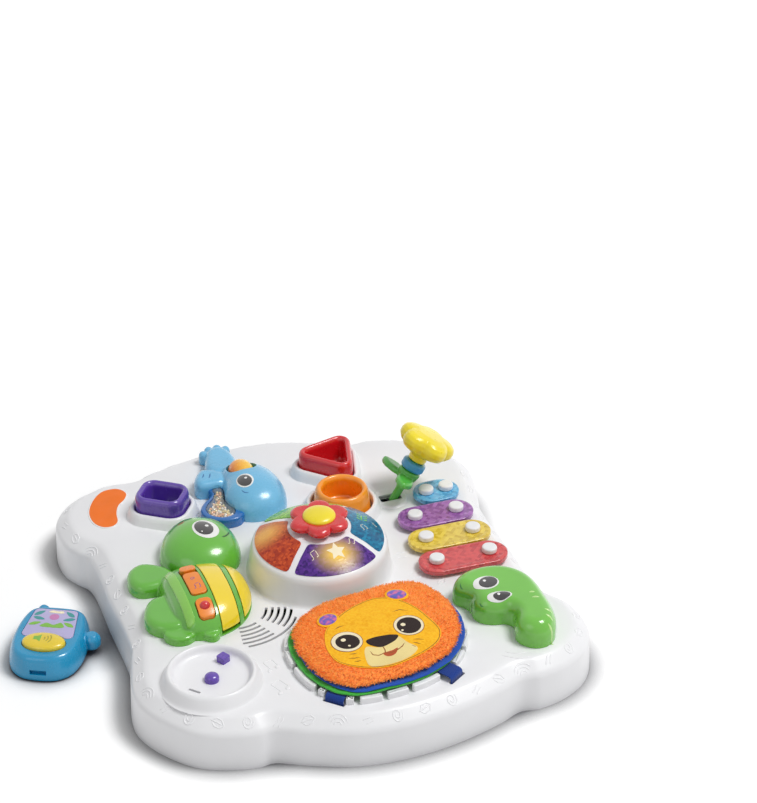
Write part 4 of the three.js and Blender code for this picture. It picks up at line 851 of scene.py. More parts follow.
# Flower button on the drum.
FLOWER = {"reach": 29, "petals": 6, "turn": 11.4, "stem": 6.4, "low": 44, "high": 97, "centre": 15.1}
CENTRE_LEVELS = {"foot": 101, "base": 102.6, "rise": 5.2}
PETAL_SECTION = [
    (0.5, 0.2, 95.4), (0.9, 0.24, 95.4), (0.985, 0.26, 97.4), (0.985, 0.26, 100.4), (0.86, 0.24, 103.4),
    (0.52, 0.1, 102.6),
]
petals = [ring(lobed(FLOWER["reach"] * share, FLOWER["petals"], depth, 240, FLOWER["turn"]) + DRUM, z)
          for share, depth, z in soften(PETAL_SECTION, 1.0, 4)]
flower_stem = lathe_data([(FLOWER["stem"], FLOWER["low"]), (FLOWER["stem"], FLOWER["high"])], 40, *DRUM)
flower_data = joined(loft_data(petals), flower_stem)
flower_dome = dome_data(circle(FLOWER["centre"], 96, *DRUM), DRUM, **CENTRE_LEVELS)
piece("flower_petals", flower_data, red, "red_plastic", "flower_button", body="flower")
piece("flower_centre", flower_dome, yellow, "yellow_plastic", "flower_button_centre", body="flower")

# Press cups, their collars and the marks on their floors.
COLLAR = [
    (-9.4, 46), (-8.6, 47.6), (-6.6, 53.4), (-4.6, 57), (-2.2, 57.4), (-0.9, 56), (-0.9, 49), (-0.9, 46.4),
]
CUP = [(0.2, 44.6), (0.2, 68.4), (2.2, 72), (5, 72), (7.2, 68.4), (7.8, 50), (10.4, 48.2)]
CUP_FLOOR = Flat(48.3)
WAIST = 58


def press_cup(shape, outline, look, slot, mark, taper):
    """A cup that narrows by the taper above its waist, with its collar and the mark on its floor."""
    name = f"{shape}_cup"
    piece(f"{name}_collar", stack_data(outline, soften(COLLAR, 1.6), closed=True), white, "white_plastic")
    profile = soften([(d + (taper if z > WAIST else taper * 0.1), z) for d, z in CUP], 2.4)
    piece(name, stack_data(outline, profile, eased), look, slot, f"{shape}_button", body=name)
    lines(f"{name}_floor_print", [mark], CUP_FLOOR, white, name, width=1.5, height=0.5)


square_mark = star(*square_plan.mean(axis=0), 5.4)
CUPS = {
    "square": (square_plan, purple, "purple_plastic", np.vstack([square_mark, square_mark[:1]]), 0.0),
    "triangle": (triangle_plan, red, "red_plastic", spiral(*triangle_plan.mean(axis=0), 8), 0.0),
    "ring": (ring_plan, orange, "orange_plastic", arc(*ring_plan.mean(axis=0), 4, 0, 330), 3.0),
}
for shape, spec in CUPS.items():
    press_cup(shape, *spec)

# Dish pegs: outline, middle, foot, base, rise, levels and the dome's power.
SQUARE_PEG, ROUND_PEG = (-121, -113), (-138, -135)
PEG_SIZE = {"width": 8.8, "depth": 8.8, "radius": 1.2}
ROUND_RADIUS = 6.4
PEGS = {
    "square_peg": (turn(box_outline(**PEG_SIZE), 30, *SQUARE_PEG), SQUARE_PEG, 49.4, 55.8, 1.2, 8, 9),
    "round_peg": (circle(ROUND_RADIUS, 48, *ROUND_PEG), ROUND_PEG, 49.4, 53.4, 4.2, 10),
}
for name, spec in PEGS.items():
    piece(name, dome_data(*spec), purple, "purple_plastic", f"dish_{name}", body=name)

# Label plate with a pale rim.
LABEL = [
    (-172, 156), (-161, 178), (-149, 188), (-134, 187), (-127.4, 176), (-132, 165), (-140, 157),
    (-145, 145), (-148, 130), (-155, 124), (-165, 125.6), (-172, 136),
]
label_plan = smooth(LABEL, 160)
LABEL_SECTION = [(1.5, 46.6), (1.5, 47.5), (1.8, 47.9), (4.5, 47.9)]
RIM_SECTION = [(0.3, 46.6), (0.3, 47.3), (0.6, 47.6), (3.6, 47.6)]
label = stack_data(label_plan, LABEL_SECTION, eased)
piece("label", label, label_orange, "orange_plastic", "label_plate")
piece("label_rim", stack_data(label_plan, RIM_SECTION, eased), eye_white, "orange_plastic")

# Xylophone: middle, length, turn and the distance between the caps of every bar.
BARS = {
    "red": (129.5, -45.5, 85, -2.2, 51), "yellow": (131, -8.5, 80, -1.6, 46),
    "purple": (132, 28.6, 74, -1, 41), "blue": (147, 65.4, 45, 0, 20),
}
BAR_WIDTH = 35
BAR_SECTION = soften([(2, 50), (0, 50.8), (0, 55.2), (1.6, 55.8), (4, 55.8), (4.8, 55.3), (8, 55.3)], 0.7)
CAP_PROFILE = soften([(2.3, 50), (2.3, 55.6), (7, 55.6), (7, 60), (5.6, 61), (0.4, 61)], 1.0)


def stadium(length, width, x, y, degrees, count=150):
    half = (length - width) / 2
    ends = arc(half, 0, width / 2, -90, 90, 24) + arc(-half, 0, width / 2, 90, 270, 24)
    return turn(even(np.array(ends), count), degrees, x, y)


for colour, (x, y, length, degrees, spread) in BARS.items():
    plate = stack_data(stadium(length, BAR_WIDTH, x, y, degrees), BAR_SECTION, eased)
    slot = "sky_blue_plastic" if colour == "blue" else f"{colour}_plastic"
    piece(f"bar_{colour}_plate", plate, bar_looks[colour], slot, f"bar_{colour}", body=f"{colour}_bar")
    for side, name in ((-1, "left"), (1, "right")):
        middle = turn([(side * spread / 2, 0)], degrees, x, y)[0]
        piece(f"cap_{colour}_{name}", lathe_data(CAP_PROFILE, 56, *middle), white, "white_plastic",
              f"bar_{colour}_cap_{name}")


# Flower lever, built upright about its pivot and leaned over.
def leaned(data):
    verts, faces = data
    angle = math.radians(LEVER["lean"])
    spin = np.array([
        [math.cos(angle), 0, math.sin(angle)], [0, 1, 0], [-math.sin(angle), 0, math.cos(angle)]])
    return np.array(verts) @ spin.T + np.array([LEVER["x"], LEVER["y"], LEVER["z"]]), faces


LEAF = [(-15, 0), (-7, -7.4), (4, -8.4), (12, -4.6), (16, 0), (12, 4.6), (4, 8.4), (-7, 7.4)]

LEAF_REACH = 16
LEAF_LEVELS = {"low": 29.6, "high": 35.6, "round_by": 3, "levels": 6}
STEM_PROFILE = soften([
    (4, 4), (4, 19), (5.4, 24), (8.6, 30), (10.6, 36), (10.8, 39.4), (9.4, 40.8), (6, 40.8), (6, 69)], 2)
RING_PROFILE = soften([(6.6, 41.2), (10, 41.2), (11.6, 43), (11.6, 49), (10, 50.6), (6.6, 50.6)], 1.2)
HEAD_SECTION = [
    (0.3, 0.0, 51.6), (0.32, 0.02, 57.5), (0.62, 0.14, 61), (0.86, 0.21, 64), (0.98, 0.23, 68.4),
    (0.99, 0.24, 73), (0.93, 0.23, 77), (0.8, 0.2, 79.6), (0.5, 0.1, 81.4), (0.2, 0.02, 81.6),
]
HEAD_REACH = 29


def lever_leaf(degrees):
    centre = turn([(LEAF_REACH, 0)], degrees)[0]
    return leaned(pillow_data(turn(smooth(LEAF, 72), degrees, *centre), **LEAF_LEVELS))


stem_parts = [leaned(lathe_data(STEM_PROFILE, 40)), lever_leaf(118), lever_leaf(-122)]
stem = fused("lever_stalk", stem_parts, leaf_green, "lever")
tag(stem, "green_plastic", "lever_stem")
lever_collar = leaned(loft_data([ring(circle(r, 72), z) for r, z in RING_PROFILE], closed=True))
piece("lever_collar", lever_collar, lever_blue, "sky_blue_plastic", "lever_ring", body="lever_spinner")
head_rings = [ring(lobed(HEAD_REACH * share, 5, depth, 240, 57), z) for share, depth, z in HEAD_SECTION]
head = fused("lever_bloom", [leaned(loft_data(head_rings))], yellow, "lever")
tag(head, "yellow_plastic", "lever_flower")

# Turtle.
SHELL_PLAN = smooth([
    (-145, 6), (-147.4, -20), (-146, -54), (-137, -71), (-120, -75.5), (-103, -72), (-91, -66),
    (-79, -54), (-70.6, -36), (-68, -17), (-70.4, 1), (-84, 15), (-110, 22), (-133, 19),
], 160)
HEAD_PLAN = smooth([
    (-131, 47), (-124, 71), (-109, 87), (-93, 93), (-75, 88), (-62, 76), (-56, 57), (-58, 35),
    (-67, 19), (-86, 11), (-107, 14), (-124, 27),
], 140)
LIMBS = [
    (61, 50, [(-169, 17), (-165, 35), (-152, 42.6), (-137, 36), (-126, 20), (-132, 6), (-149, 2), (-163, 5)]),
    (60.4, 50, [(-157, -13), (-167, -26), (-170, -44), (-161, -58), (-142, -62), (-128, -50), (-128, -28),
                (-140, -12)]),
    (56, 49, [(-159, -60), (-158, -68), (-151, -75), (-140, -76), (-131, -68), (-134, -58), (-148, -55)]),
    (55.4, 49, [(-131, -62), (-127, -74), (-119, -80.6), (-112, -76), (-111, -62), (-120, -56)]),
]
SHELL_FOCUS, HEAD_FOCUS, DROP_FOCUS = (-116, -28), (-93, 53), (-120, -58)
SHELL_RISE, HEAD_RISE = 28.5, 29
KEY_SIDES = (-127.2, -112.8)
RIDGE_PROUD, LENS_PROUD, KEY_PROUD, BUMP_PROUD = 0.8, 0.5, 1.6, 3.2
PLATE_FOOT, POCKET_FOOT, POCKET_ROOM = 52.4, 48.6, 0.75
DROP_HALF = (4.8, 4.2)
DROP_LEVELS = {"foot": 66, "base": 71, "rise": 5.2, "levels": 8}


def shell_dome(depth):
    return dome_data(eased(SHELL_PLAN, depth), SHELL_FOCUS, FOOT, SEAT, SHELL_RISE - depth, 22)


def plate_plan(left, right, low, high, radius=1.4):
    return box_outline(right - left, high - low, radius) + [(left + right) / 2, (low + high) / 2]


def shell_plate(name, outline, proud, look, colour, body, node):
    """A piece let into the shell: its outline's column cut by the shell's own curve."""
    plate = shaped(name, shell_dome(-proud), prism_data(outline, PLATE_FOOT), look, body)
    return tag(plate, f"{colour}_plastic", f"turtle_{node}")


turtle_parts = [shell_dome(0), dome_data(HEAD_PLAN, HEAD_FOCUS, FOOT, SEAT, HEAD_RISE, 22)]
for high, base, points in LIMBS:
    turtle_parts.append(pillow_data(smooth(points, 100), FOOT, high - 0.6, high - base - 4))
turtle = fused("turtle", turtle_parts, turtle_green, "table")
tag(turtle, "green_plastic", "turtle_body")

ridge_plan = plate_plan(-139, -131.5, -68, 12, 3)
ridge = shaped("turtle_ridge", shell_dome(-RIDGE_PROUD), prism_data(ridge_plan), turtle_light, "table")
band_plan = plate_plan(-109, -91, -90, 8)
rump_plan = plate_plan(-85, -60, -80, 12)
upper_plan = plate_plan(*KEY_SIDES, -44, -11, 4)
bump_plan = plate_plan(*KEY_SIDES, -9.4, 1, 4.4)
lower_plan = plate_plan(*KEY_SIDES, -68, -50, 4)
pocket_plans = (band_plan, rump_plan, plate_plan(*KEY_SIDES, -44, 1, 4), lower_plan)
carve(turtle, joined(*[prism_data(inset(outline, -POCKET_ROOM), POCKET_FOOT) for outline in pocket_plans]))
turtle.data.shade_smooth()
for name, outline in (("band", band_plan), ("rump", rump_plan)):
    shell_plate(f"turtle_{name}_lens", outline, LENS_PROUD, band_yellow, "yellow", "table", name)
key = shell_plate("key_upper_plate", upper_plan, KEY_PROUD, key_orange, "orange", "key_upper", "key_upper")
shell_plate("key_upper_bump", bump_plan, BUMP_PROUD, key_orange, "orange", "key_upper", "key_upper")
shell_plate("key_lower_plate", lower_plan, KEY_PROUD, key_orange, "orange", "key_lower", "key_lower")
drop_dome = dome_data(oval(*DROP_HALF, 48, *DROP_FOCUS), DROP_FOCUS, **DROP_LEVELS)
fused("key_drop", [drop_dome], red, "key_lower")
key_marks = [spiral(-120, -22, 5)] + note_strokes(-120, -34, 7, 0)
lines("key_print", key_marks, Skin(key), print_purple, "key_upper", width=1.1, height=0.12)


# Faces.
def oval_through(ends, count=80):
    """The oval whose crossing diameters end at four points."""
    ends = np.array(ends, float)
    centre, first, second = ends.mean(axis=0), (ends[0] - ends[2]) / 2, (ends[1] - ends[3]) / 2
    angle = np.linspace(0, 2 * math.pi, count, endpoint=False)[:, None]
    return even(centre + first * np.cos(angle) + second * np.sin(angle), count)

EYE_LIFTS = {"white": 0.25, "dark": 0.8, "glint": 1.4}


def eye(name, skin, white_ends, dark_ends, glints):
    """A domed white, a domed dark and small glints, one on the other."""
    parts = {"white": (white_ends, eye_white, 0.5), "dark": (dark_ends, eye_dark, 0.45)}
    for part, (ends, look, crown) in parts.items():
        patch(f"{name}_{part}", oval_through(ends), skin, look, "table", EYE_LIFTS[part], crown, rings=6)
    for index, (x, y, reach) in enumerate(glints):
        patch(f"{name}_glint_{index}", oval(reach, reach, 24, x, y), skin, eye_white, "table",
              lift=EYE_LIFTS["glint"], rings=2)


turtle_skin = Skin(turtle)
eye("turtle_eye", turtle_skin, [(-97.2, 57.4), (-82.2, 64.4), (-74.7, 46.7), (-89.9, 36.9)],
    [(-95.2, 57.1), (-84.6, 61.9), (-79.6, 48.6), (-90.2, 41)], [(-84.4, 53.4, 1.7), (-91, 46, 0.8)])
# The smile is a dark strip that paints the shade in the cheek's crease.
lines("turtle_smile_shade", [[(-75, 37.8), (-72, 38.8), (-69, 41.6), (-66, 45.6), (-64.2, 50)]], turtle_skin,
      turtle_crease_shade, "table", width=1.7, height=0.4)
lines("turtle_nostril", [[(-108.6, 71), (-105, 70.8), (-102, 72.2), (-99, 74.4)]], turtle_skin, brick,
      "table", width=3.0, height=0.5, taper=True)
# Elephant.
ELEPHANT_PLAN = smooth([
    (-38, 90), (-30, 85.6), (-18, 84), (-5, 87), (6, 96), (12, 112), (12, 132), (6, 152), (-6, 166),
    (-20, 172), (-34, 170), (-42, 158), (-44, 141), (-48, 127), (-50.6, 114), (-46, 99),
], 150)
LEG_PLAN = smooth([
    (-50, 170), (-46, 188), (-40, 202), (-31, 206), (-22, 202), (-18, 190), (-19, 172), (-30, 158),
    (-44, 158)], 100)
TRUNK_PLAN = smooth([
    (-36, 156), (-47, 166.6), (-56, 169), (-63, 162), (-68, 150), (-66, 141), (-54, 139), (-40, 140)], 100)
TRAY_PLAN = smooth([
    (-57, 141), (-56.6, 132), (-62, 125), (-69.6, 118), (-74.6, 108), (-73, 97), (-65, 88), (-54, 83.6),
    (-43, 84.6), (-36, 92), (-34, 110), (-36, 130), (-44, 142)], 150)
WINDOW_PLAN = smooth([
    (-54, 138), (-45.6, 138.4), (-45, 129), (-47.6, 118), (-47, 108), (-43.6, 98), (-46.4, 91.6), (-54.4, 89),
    (-62.4, 92), (-68.4, 99.4), (-69.2, 107.6), (-64.6, 115.8), (-58, 122.8), (-53.8, 131)], 140)
ELEPHANT_FOCUS = (-18, 122)
ELEPHANT_RISE = 28
LEG_TOP, TRUNK_TOP, LIMB_EDGE = 63, 64, 7
TRAY_LEVELS = {"low": FOOT, "high": 57.4, "round_by": 2.6}
TOE_RADIUS = 4.6
TOE_LEVELS = {"foot": SEAT, "base": 55.4, "rise": 5.4, "levels": 8}
WELL = {"width": 28.6, "depth": 25, "corner": 10, "low": 49.8}
TRAY_FLOOR = 48.4
TOES = [(-43.6, 201), (-36.6, 206.6), (-28, 207.4), (-20.8, 202.6)]
ROLLER = (-21, 149, 62.4)
ROLLER_PROFILE = soften([
    (0.4, -13), (2.6, -13), (2.6, -11), (9.4, -11), (11.8, -6), (12.6, 0), (11.8, 6), (9.4, 11), (2.6, 11),
    (2.6, 13), (0.4, 13)], 1.2)
PANE_SECTION = soften([(1.6, 56), (0.3, 56.4), (0.3, 57.2), (1.2, 58), (2.8, 58.4)], 0.6)
elephant_parts = [
    dome_data(ELEPHANT_PLAN, ELEPHANT_FOCUS, FOOT, SEAT, ELEPHANT_RISE, 22),
    pillow_data(LEG_PLAN, FOOT, LEG_TOP, LIMB_EDGE), pillow_data(TRUNK_PLAN, FOOT, TRUNK_TOP, LIMB_EDGE),
]
elephant_parts += [dome_data(circle(TOE_RADIUS, 36, *toe), toe, **TOE_LEVELS) for toe in TOES]
elephant = fused("elephant", elephant_parts, elephant_blue, "table")
roller_well = box_outline(WELL["width"], WELL["depth"], WELL["corner"]) + ROLLER[:2]
window_hole = prism_data(inset(WINDOW_PLAN, -0.4), TRAY_FLOOR)
carve(elephant, joined(prism_data(roller_well, WELL["low"]), window_hole))
elephant.data.shade_smooth()
tag(elephant, "sky_blue_plastic", "elephant_body")
tray = fused("bead_tray", [pillow_data(TRAY_PLAN, **TRAY_LEVELS)], tray_blue, "table")
carve(tray, window_hole)
elephant_skin = Skin(elephant)
eye("elephant_eye", elephant_skin, [(-34.5, 121.5), (-23.8, 127.7), (-19.4, 114.4), (-30, 108.2)],
    [(-33.3, 121.1), (-25, 125.5), (-21.1, 114.2), (-29.6, 109.5)], [(-25.6, 119.4, 1.3)])
lines("elephant_smile", [[(-34.2, 109.4), (-33.4, 105.6), (-31.8, 103), (-28.6, 101.2), (-26.3, 100.9)]],
      elephant_skin, elephant_smile_and_fold_shade, "table", width=1.2, height=0.2, taper=True)
# Dark strips along the trunk's folds paint the shade in them.
lines("trunk_fold_shade", [[(-60, 150), (-57.6, 154), (-55.6, 159)], [(-54.6, 147), (-51.6, 152), (-49.4, 158)]],
      elephant_skin, elephant_smile_and_fold_shade, "table", width=1.5, height=0.25, taper=True)


def lying_data(profile, count, x, y, z):
    """A turned form lying along Y, as (radius, distance along Y)."""
    verts, faces = lathe_data(profile, count)
    return np.column_stack([verts[:, 0] + x, verts[:, 2] + y, z - verts[:, 1]]), faces


piece("roller_barrel", lying_data(ROLLER_PROFILE, 80, *ROLLER), roller_amber, "orange_plastic",
      "elephant_roller", body="roller")
piece("bead_pane", stack_data(WINDOW_PLAN, PANE_SECTION, eased), clear_look, "clear_plastic", "bead_window")
bead_bed = prism_data(inset(WINDOW_PLAN, 0.8), TRAY_FLOOR, TRAY_FLOOR + 1)
piece("bead_bed", bead_bed, cream_print, "orange_plastic", "bead_heap")


def inside(x, y, outline):
    crossings = 0
    for (ax, ay), (bx, by) in zip(outline, np.roll(outline, -1, axis=0)):
        if (ay > y) != (by > y) and x < ax + (bx - ax) * (y - ay) / (by - ay):
            crossings += 1
    return crossings % 2 == 1


BEAD = {"radius": 1.35, "apart": 2.5, "low": 50.6, "layer": 1.7, "rim": 2.6, "tries": 9000}
BEAD_COLOURS = {
    "orange": srgb(252, 178, 110), "yellow": srgb(254, 232, 150), "white": srgb(254, 250, 240),
    "peach": srgb(254, 220, 190),
}
def ball_data(centre, radius, count=10, levels=6):
    angles = np.linspace(-math.pi / 2, math.pi / 2, levels + 2)[1:-1]
    profile = [(radius * math.cos(a), centre[2] + radius * math.sin(a)) for a in angles]
    return lathe_data(profile, count, *centre[:2])


def loose_beads():
    """Loose round beads of mixed colours, resting two or three deep in the window."""
    looks = [plastic(f"bead_{name}", colour, rough=0.15, coat=0.5) for name, colour in BEAD_COLOURS.items()]
    room = inset(WINDOW_PLAN, BEAD["rim"])
    low, high = room.min(axis=0), room.max(axis=0)
    spots = []
    for _ in range(BEAD["tries"]):
        x, y = RNG.uniform(low, high)
        spot = np.array([x, y, BEAD["low"] + BEAD["layer"] * RNG.integers(0, 3)])
        if inside(x, y, room) and all(np.linalg.norm(spot - other) > BEAD["apart"] for other in spots):
            spots.append(spot)
    for index, look in enumerate(looks):
        balls = [ball_data(spot, BEAD["radius"]) for spot in spots[index::len(looks)]]
        piece(f"beads_{index}", joined(*balls), look, "orange_plastic", smooth_angle=180)


loose_beads()
# Inchworm.
WORM_PLAN = smooth([
    (97.6, -97), (104, -88), (117, -82), (134, -81), (149, -85), (161, -94.6), (168.6, -109),
    (170.6, -124), (170, -140), (169, -157), (165, -173), (158, -183.6), (149, -188.4), (139, -187),
    (131, -180), (127.6, -172), (129.6, -163), (133, -154), (129, -146), (119, -143.4), (110, -138),
    (105, -129), (106, -119), (103, -110), (98.4, -104),
], 260)
WORM = {"shoulder": 56, "in": 11.6, "rise": 16}
worm_profile = [(0, FOOT), (0, WORM["shoulder"])] + [
    (WORM["in"] * (1 - math.cos(a)), WORM["shoulder"] + WORM["rise"] * math.sin(a))
    for a in np.linspace(0.12, math.pi / 2, 12)]
worm = fused("inchworm_moulding", [stack_data(WORM_PLAN, worm_profile, eased)], worm_green, "table")
tag(worm, "green_plastic", "inchworm")
worm_skin = Skin(worm)
eye("worm_eye_back", worm_skin, [(134.8, -114.8), (120, -122.6), (111.8, -110.7), (126.1, -104)],
    [(133.1, -114.4), (122.8, -121.1), (116.4, -111.8), (127.9, -105.6)], [(122.4, -111, 1.5)])
eye("worm_eye_front", worm_skin, [(138, -136.6), (125.6, -140.2), (115.8, -133), (128.4, -129)],
    [(136.4, -136.6), (127.9, -139.6), (121, -134), (130.1, -130.6)], [(126.6, -133.6, 1.4)])
WORM_CHEEKS = [
    [(104.6, -101), (102.6, -103), (102.8, -105.6), (104.6, -108.4)],
    [(110, -130.6), (109.2, -132.4), (109.8, -134.6), (112, -137)],
]
# Pale raised dashes along the worm's right side are painted highlights.
WORM_PAINTED_HIGHLIGHTS = [
    [(152.9, -139.4), (155.6, -139.4), (158.4, -140.7)], [(151.9, -147), (155.6, -147.4), (159.4, -149.1)],
    [(155.4, -166.2), (158.8, -167.8), (161.8, -170.5)], [(153.4, -173.2), (156.4, -175.8), (159, -179.2)],
    [(151.7, -182.3), (154, -184.6), (156.6, -187.3)],
]
lines("worm_cheeks", WORM_CHEEKS, worm_skin, dark_green, "table", width=1.5, height=0.2, taper=True)
# The pale dashes are painted highlights.
lines("worm_painted_highlights", WORM_PAINTED_HIGHLIGHTS, worm_skin, worm_highlight_paint, "table", width=2.6, height=0.5, taper=True)
# Cloth book.
MANE_PLAN = smooth([
    (-58, -108), (-47, -93), (-30, -81.6), (-5, -74), (18, -71.4), (39, -68.4), (59, -70), (73, -77),
    (84, -95), (89, -117), (88, -138), (82, -157), (69, -176), (51, -190), (30, -198), (6, -201.6),
    (-16, -202), (-34, -199), (-45, -191), (-54, -177), (-60, -161), (-62.6, -140), (-62, -122),
], 400)
FACE_PLAN = smooth([
    (-37, -138), (-30, -121), (-12, -105.6), (8, -95.6), (26, -92), (41, -98), (53, -114),
    (60, -136), (62.6, -156), (56, -169), (42, -178.6), (24, -185), (6, -188.6), (-10, -186),
    (-24, -179), (-35.6, -168), (-38.6, -154),
], 200)


def blow_up(obj, pressure, cap, frames=20):
    """Blows a closed skin up as cloth and keeps each point within a cap of where it was drawn."""
    mesh, scene = obj.data, bpy.context.scene
    drawn = np.empty(3 * len(mesh.vertices))
    mesh.vertices.foreach_get("co", drawn)
    settings = obj.modifiers.new("cloth", "CLOTH").settings
    settings.use_pressure = True
    settings.uniform_pressure_force = pressure
    settings.mass = 0.2
    settings.tension_stiffness = 40
    settings.bending_stiffness = 2
    settings.effector_weights.gravity = 0.0
    for step in range(1, frames + 1):
        scene.frame_set(step)
    blown = np.empty_like(drawn)
    evaluated(obj).vertices.foreach_get("co", blown)
    obj.modifiers.clear()
    scene.frame_set(1)
    moved = (blown - drawn).reshape(-1, 3)
    moved *= np.minimum(1, cap * MM / (np.linalg.norm(moved, axis=1, keepdims=True) + TINY))
    mesh.vertices.foreach_set("co", (drawn.reshape(-1, 3) + moved).ravel())


def settled(name, data, look, body, pressure=3.0, cap=0.9, voxel=3.6):
    """A stuffed form: its skin is blown up as cloth, then made finer."""
    obj = new_object(name + "_raw", *data, look, None)
    skinned(obj, voxel)
    mesh = evaluated(obj)
    obj.modifiers.clear()
    obj.data = mesh
    blow_up(obj, pressure, cap)
    finer = obj.modifiers.new("finer", "SUBSURF")
    finer.levels = 1
    return moulded(name, obj, look, body)


PLUSH_SECTION = [(3.4, 58.2), (1.8, 59), (1.2, 60.6), (2, 62.4), (4.4, 63.8), (9, 64.2)]
plush = settled("lion_padding", stack_data(MANE_PLAN, PLUSH_SECTION, eased), mane_base, "lion_leaf")
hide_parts("lion_page")
PILE = {"count": 42000, "length": 2.7, "half": 0.28, "scatter": 0.7, "sink": 0.5, "swirl": 14}


def pile(name, outline, keep_out, look, body):
    """Short tufts of pile that lean outwards, none on the face or underneath."""
    middle = outline.mean(axis=0)
    spots = np.array([p.center for p in plush.data.polygons]) / MM
    normals = np.array([p.normal for p in plush.data.polygons])
    verts, faces = [], []
    for pick in RNG.integers(0, len(spots), PILE["count"]):
        spot, normal = spots[pick], normals[pick]
        if normal[2] < -0.5 or inside(spot[0], spot[1], keep_out):
            continue
        spot = spot + RNG.normal(0, PILE["scatter"], 3) * [1, 1, 0.1]
        away = np.append(spot[:2] - middle, 0)
        away /= np.linalg.norm(away)
        swirl = 0.9 * noise.noise(Vector((spot[0] / PILE["swirl"], spot[1] / PILE["swirl"], 3.0)))
        lean = away + np.array([-away[1], away[0], 0]) * swirl * 1.6 + RNG.normal(0, 0.35, 3)
        grow = normal * 0.9 + lean * 0.75
        grow /= np.linalg.norm(grow)
        reach = PILE["length"] * RNG.uniform(0.6, 1.15)
        side = np.cross(grow, RNG.normal(0, 1, 3))
        side *= PILE["half"] / np.linalg.norm(side)
        root = spot - normal * PILE["sink"]
        bend = root + grow * reach * 0.55
        tip = bend + (grow * 0.6 + lean * 0.25) * reach * 0.5
        base = len(verts)
        verts += [root - side, root + side, bend + side * 0.8, bend - side * 0.8, tip]
        faces += [(base, base + 1, base + 2, base + 3), (base + 3, base + 2, base + 4)]
    return new_object(name, verts, faces, look, body, 180.0)


mane_pile = pile("lion_pile", MANE_PLAN, inset(FACE_PLAN, 1.5), mane_fur, "lion_leaf")

# The printed and stitched face.
FACE_DOME = {
    "x": 12, "y": -142, "half_x": 62, "half_y": 58, "top": 66.5, "fall": 1.1, "wave": 0.22, "bend": 17,
}


class FaceDome:
    """The plush surface smoothed to a gently domed level for the printed face."""

    def at(self, x, y):
        dx, dy = x - FACE_DOME["x"], y - FACE_DOME["y"]
        away = (dx / FACE_DOME["half_x"]) ** 2 + (dy / FACE_DOME["half_y"]) ** 2
        wave = noise.noise(Vector((x / FACE_DOME["bend"], y / FACE_DOME["bend"], 0.5)))
        fall = 2 * FACE_DOME["fall"]
        slope = np.array([fall * dx / FACE_DOME["half_x"]**2, fall * dy / FACE_DOME["half_y"]**2, 1.0])
        level = FACE_DOME["top"] - FACE_DOME["fall"] * away + FACE_DOME["wave"] * wave
        return np.array([x, y, level]), slope / np.linalg.norm(slope)


face_skin = FaceDome()
face_top = Lifted(face_skin, 0.6)
face = patch("lion_face", FACE_PLAN, face_skin, face_fur, "lion_leaf", lift=0.4, crown=0.3, rings=16,
             sink=3.0)
EARS = {"left": (-24, -108.6, 30), "right": (45.6, -94, -20)}
EAR_HALF, SATIN_HALF = (10.6, 9), (8.6, 7)
for side, place in EARS.items():
    rim = patch(f"lion_ear_{side}", oval(*EAR_HALF, 60, *place), face_skin, face_fur, "lion_leaf",
                lift=0.6, crown=0.4, rings=5, sink=3.0)
    patch(f"lion_ear_{side}_satin", oval(*SATIN_HALF, 60, *place), face_skin, ear_satin, "lion_leaf",
          lift=1.25, crown=0.3, rings=5)

MUZZLE = smooth([
    (-6.7, -157.8), (4.3, -161.9), (23.9, -152.6), (28.9, -163.6), (34.4, -173.2), (26.5, -181),
    (15.4, -185), (-0.9, -186.2), (-11.8, -183), (-12.7, -174.2)], 120)
NOSE = smooth([
    (-3.6, -149.5), (4.1, -147.5), (12, -147.8), (19.7, -148.8), (24.9, -151.5), (21.4, -156.3),
    (12.8, -160.6), (5.3, -162.3), (-1, -158), (-3.9, -153.6)], 90)
MOUTH = smooth([
    (3.8, -170.7), (8.1, -170.1), (12.8, -169.6), (18.1, -167.9), (14.6, -174), (9.1, -176.5),
    (5.1, -175)], 60)
SMILE = [
    [(-5.5, -163.9), (-4.9, -169.7), (-0.6, -172.1), (5.6, -170.7), (10.6, -172.5), (17.1, -170.5),
     (23, -167.1), (26.2, -163.4)],
    [(7, -162), (7, -167), (6, -170.6)],
]
WHISKERS = [
    [(-22.8, -161.5), (-19.5, -162.4), (-16.3, -162.4)], [(-25.7, -166.4), (-20.8, -168), (-15.9, -168.6)],
    [(-22.5, -172), (-19.6, -172.8), (-16.7, -172.7)], [(34.9, -161.3), (39.4, -162.4), (43.7, -164.6)],
    [(32.9, -165.1), (36.2, -167), (39.2, -169.8)], [(29.6, -167.7), (32.2, -170), (34.4, -173.2)],
    [(-23.4, -124.1), (-18.8, -122), (-14, -121.5)], [(32.2, -117.8), (39.6, -116.7), (45.7, -120.5)],
]


def on_face(name, outline, look, lift, rings=3):
    patch(name, outline, face_top, look, "lion_leaf", lift=lift, rings=rings)


def sewn(name, strokes, lift, width, height=0.2, taper=False):
    """Brown stitched lines on the face."""
    lines(name, strokes, Lifted(face_skin, lift), stitch_brown, "lion_leaf", width, height, taper)


face_edge = inset(FACE_PLAN, 1.2)
sewn("face_edge", [np.vstack([face_edge, face_edge[:2]])], 0.35, 0.8, 0.25)
on_face("lion_muzzle", MUZZLE, muzzle_cloth, 0.14, 5)
on_face("lion_nose", NOSE, nose_cloth, 0.34, 4)
on_face("lion_mouth", MOUTH, mouth_cloth, 0.26)
sewn("lion_smile", SMILE, 0.8, 1.1)
sewn("lion_whiskers", WHISKERS, 0.7, 0.9, taper=True)


